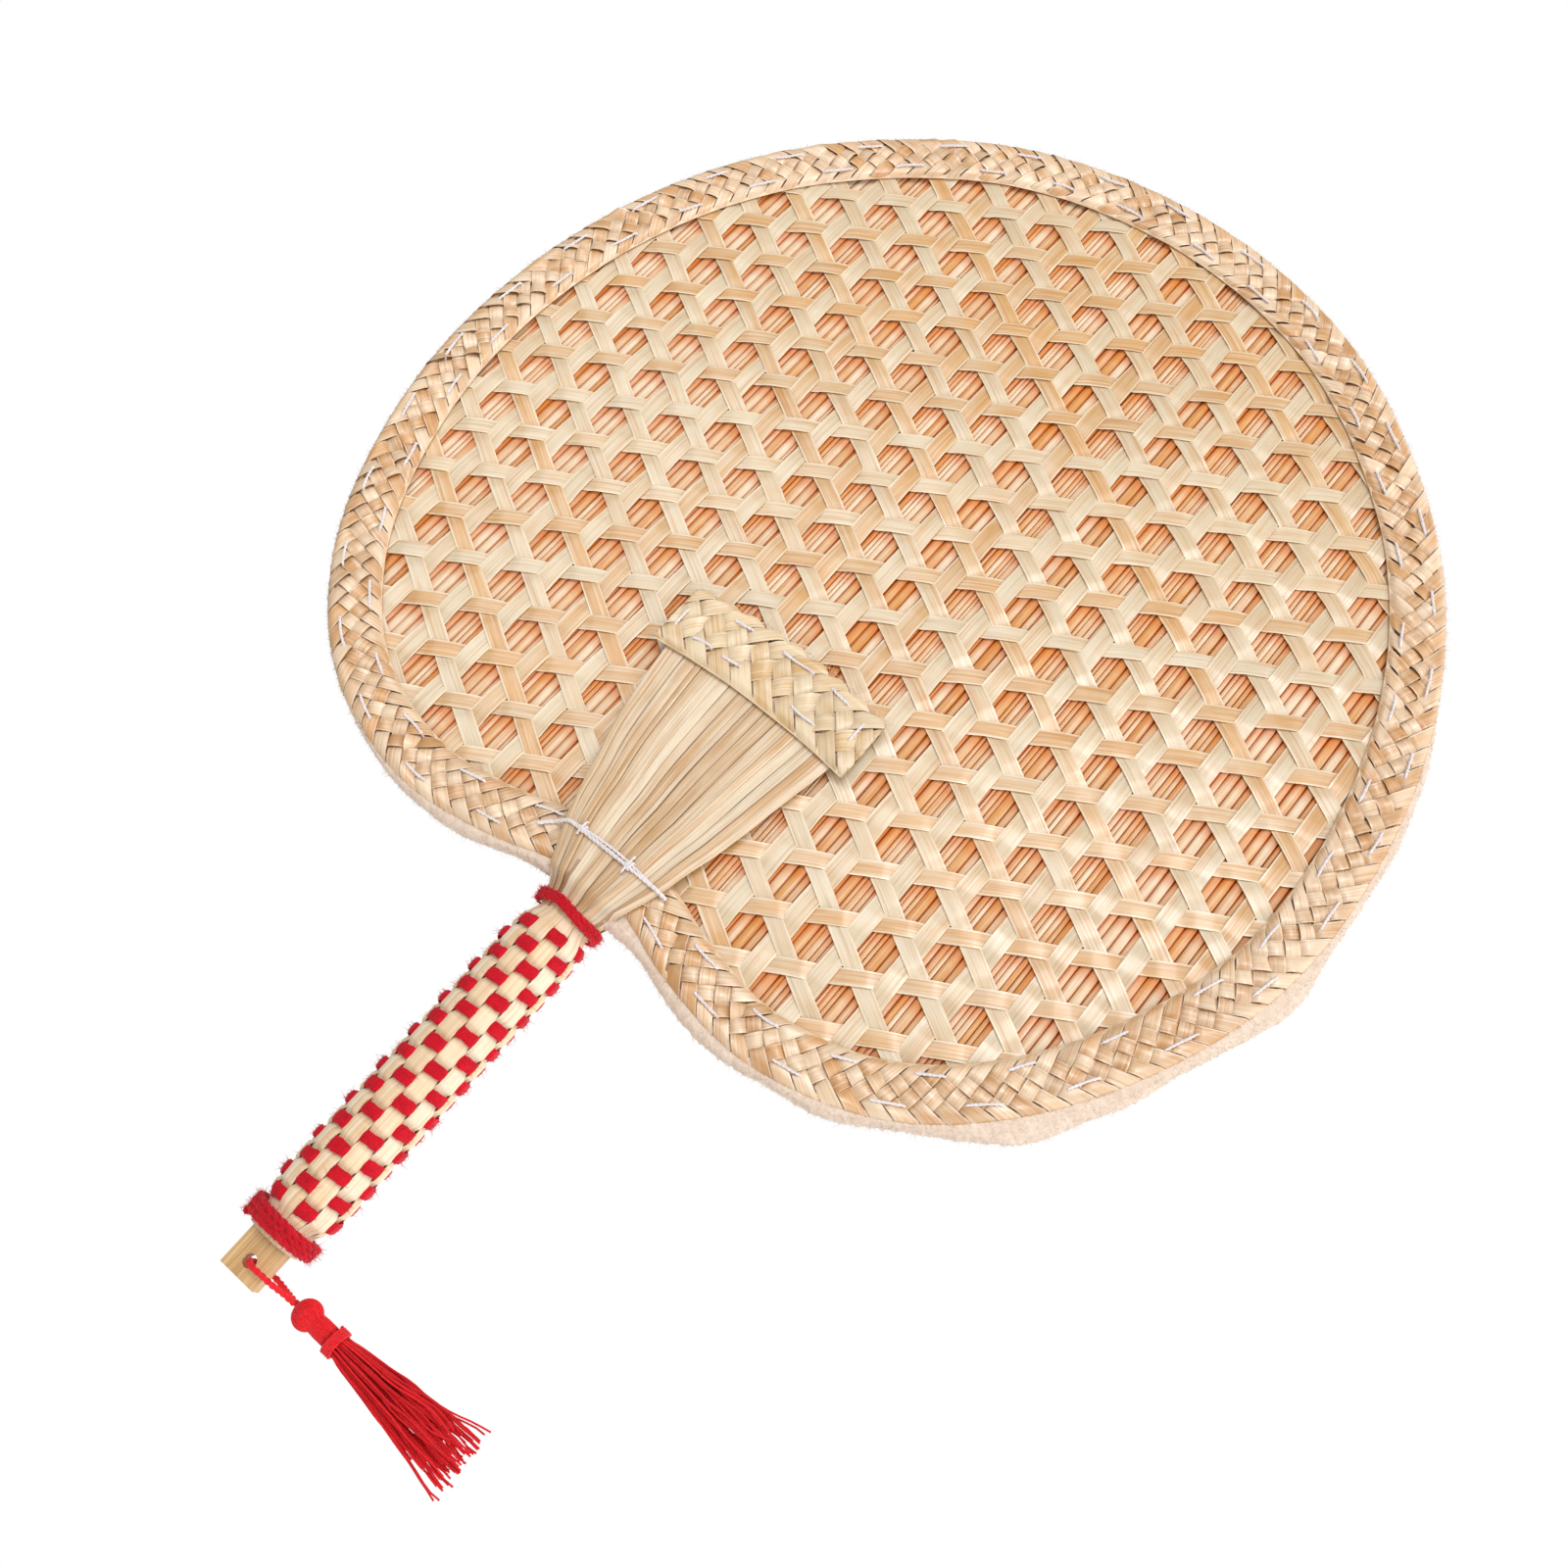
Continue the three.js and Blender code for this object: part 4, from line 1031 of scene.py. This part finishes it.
def tassel_strands():
    """The skirt: threads of uneven length that hang in loose locks, with a few that stray."""
    strands = Strands(94)
    rng = strands.rng
    low, high = node_box("tassel_skirt")
    hem = (high[0] - low[0]) / 2
    count, stray = 130, 5
    locks = rng.uniform(0, TAU, 17)
    share = np.linspace(0, 1, 18)
    for number in range(count):
        loose = number >= count - stray
        turn = locks[number % len(locks)] + rng.normal(0, 0.16)
        out = 1.0 if loose else math.sqrt(rng.uniform(0.02, 1))
        length = (high[2] - low[2]) * (1.0 if loose else 1 - 0.24 * rng.uniform(0, 1) ** 1.5)
        spread = np.interp(share, [0, 0.09, 0.2, 0.55, 1], [2.2, 2.2, 3.1, 4.6, hem]) * out
        spread = spread + (rng.uniform(1.5, 4.5) if loose else 0.0) * share**3
        swirl = turn + wander(rng, share * length, 40, 0.25) * share
        sway_x = wander(rng, share * length, 22, 0.4) * share
        sway_y = wander(rng, share * length, 22, 0.4) * share
        path = grid(EYE_X + spread * np.cos(swirl) + sway_x, spread * np.sin(swirl) + sway_y, high[2] - share * length)
        seed, shaded = rng.uniform(0, 50), rng.uniform(0, 0.45)
        strands.add(tube(path, 0.22, 5), share * length, np.arange(5) * 0.3, (0.0, 1.0, shaded), seed)
    strands.piece("tassel_strands", RED, "red_thread", "tassel_skirt", body="tassel")


def stick():
    """The stick keeps its solid, with its edges eased."""
    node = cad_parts["grip_stick"]
    node.data.materials.clear()
    node.data.materials.append(STICK)
    bevel = node.modifiers.new("eased_edges", "BEVEL")
    bevel.width = 0.4 * MM
    bevel.segments = 3
    bevel.limit_method = "ANGLE"
    bevel.angle_limit = math.radians(50)


# The camera, the lights and the floor.
CAMERA_PLACE = Vector((2.4, -336.6, -109.0)) * MM
CAMERA_AHEAD = Vector((0.2802, 0.9263, 0.2520))
CAMERA_UP = Vector((0.7165, -0.3765, 0.5873))
CAMERA_LENS = 34.67
LIT_PLACE = Vector((0.13, 0.0, 0.0))
SURROUND = 0.4


def camera():
    data = bpy.data.cameras.new("camera")
    data.lens = CAMERA_LENS
    data.sensor_width = 36.0
    data.clip_start, data.clip_end = 0.01, 50.0
    made = put_in_scene("camera", data)
    ahead = CAMERA_AHEAD.normalized()
    right = ahead.cross(CAMERA_UP).normalized()
    up = right.cross(ahead)
    turn = Matrix((right, up, -ahead)).transposed().to_4x4()
    made.matrix_world = Matrix.Translation(CAMERA_PLACE) @ turn
    bpy.context.scene.camera = made


def area_light(name, place, size, power):
    data = bpy.data.lights.new(name, "AREA")
    data.shape = "SQUARE"
    data.size = size
    data.energy = power
    made = put_in_scene(name, data)
    made.location = place
    made.rotation_euler = (LIT_PLACE - Vector(place)).to_track_quat("-Z", "Y").to_euler()


def studio():
    """A pale floor in an even white surround, a soft key light and a smaller one in front, and a light behind."""
    world = bpy.data.worlds.new("surround")
    world.use_nodes = True
    tree = world.node_tree
    seen = tree.nodes["Background"]
    cast = tree.nodes.new("ShaderNodeBackground")
    for background, strength in ((seen, 1.0), (cast, SURROUND)):
        background.inputs["Color"].default_value = (1.0, 1.0, 1.0, 1.0)
        background.inputs["Strength"].default_value = strength
    pick = tree.nodes.new("ShaderNodeMixShader")
    tree.links.new(tree.nodes.new("ShaderNodeLightPath").outputs["Is Camera Ray"], pick.inputs[0])
    tree.links.new(cast.outputs[0], pick.inputs[1])
    tree.links.new(seen.outputs[0], pick.inputs[2])
    tree.links.new(pick.outputs[0], tree.nodes["World Output"].inputs["Surface"])
    bpy.context.scene.world = world
    area_light("key", (0.5, -1.4, 0.6), size=0.9, power=5.1)
    area_light("glint", (0.52, -1.22, -0.13), size=0.3, power=2.9)
    area_light("back_fill", (-0.4, 1.2, 0.6), size=1.0, power=9.0)
    mesh = bpy.data.meshes.new("floor")
    reach, level = 6.0, -0.42
    corners = ((-reach, -reach), (reach, -reach), (reach, reach), (-reach, reach))
    mesh.from_pydata([(x, y, level) for x, y in corners], [], [(0, 1, 2, 3)])
    floor = put_in_scene("floor", mesh)
    nodes = Nodes("floor")
    nodes.shader.inputs["Emission Color"].default_value = (1.0, 1.0, 1.0, 1.0)
    nodes.shader.inputs["Emission Strength"].default_value = 0.75
    floor.data.materials.append(nodes.surface((0.9, 0.9, 0.9, 1.0), 0.9))
    bpy.context.scene.view_settings.view_transform = "Standard"


camera()
studio()
stick()
stalks()
for order, family_name in enumerate(STRIP_WAYS):
    weave_family(family_name, 21 + order)
for build, first_seed in ((rim, 31), (rim_stitches, 41)):
    build(FRONT, first_seed)
    build(BACK, first_seed + 1)
padding()
for build, first_seed in ((fanned_straws, 61), (band, 65), (band_stitches, 67)):
    build(FRONT, first_seed)
    build(BACK, first_seed + 1)
tie_thread()
grip_warps()
grip_weft()
yarn_binding("neck", NECK_X - 2.3, NECK_X + 1.6, 0.82, 0.8, 83)
yarn_binding("butt", -46.9, -41.2, 0.95, 0.0, 84)
tassel_cord()
tassel_crown()
tassel_band()
tassel_strands()
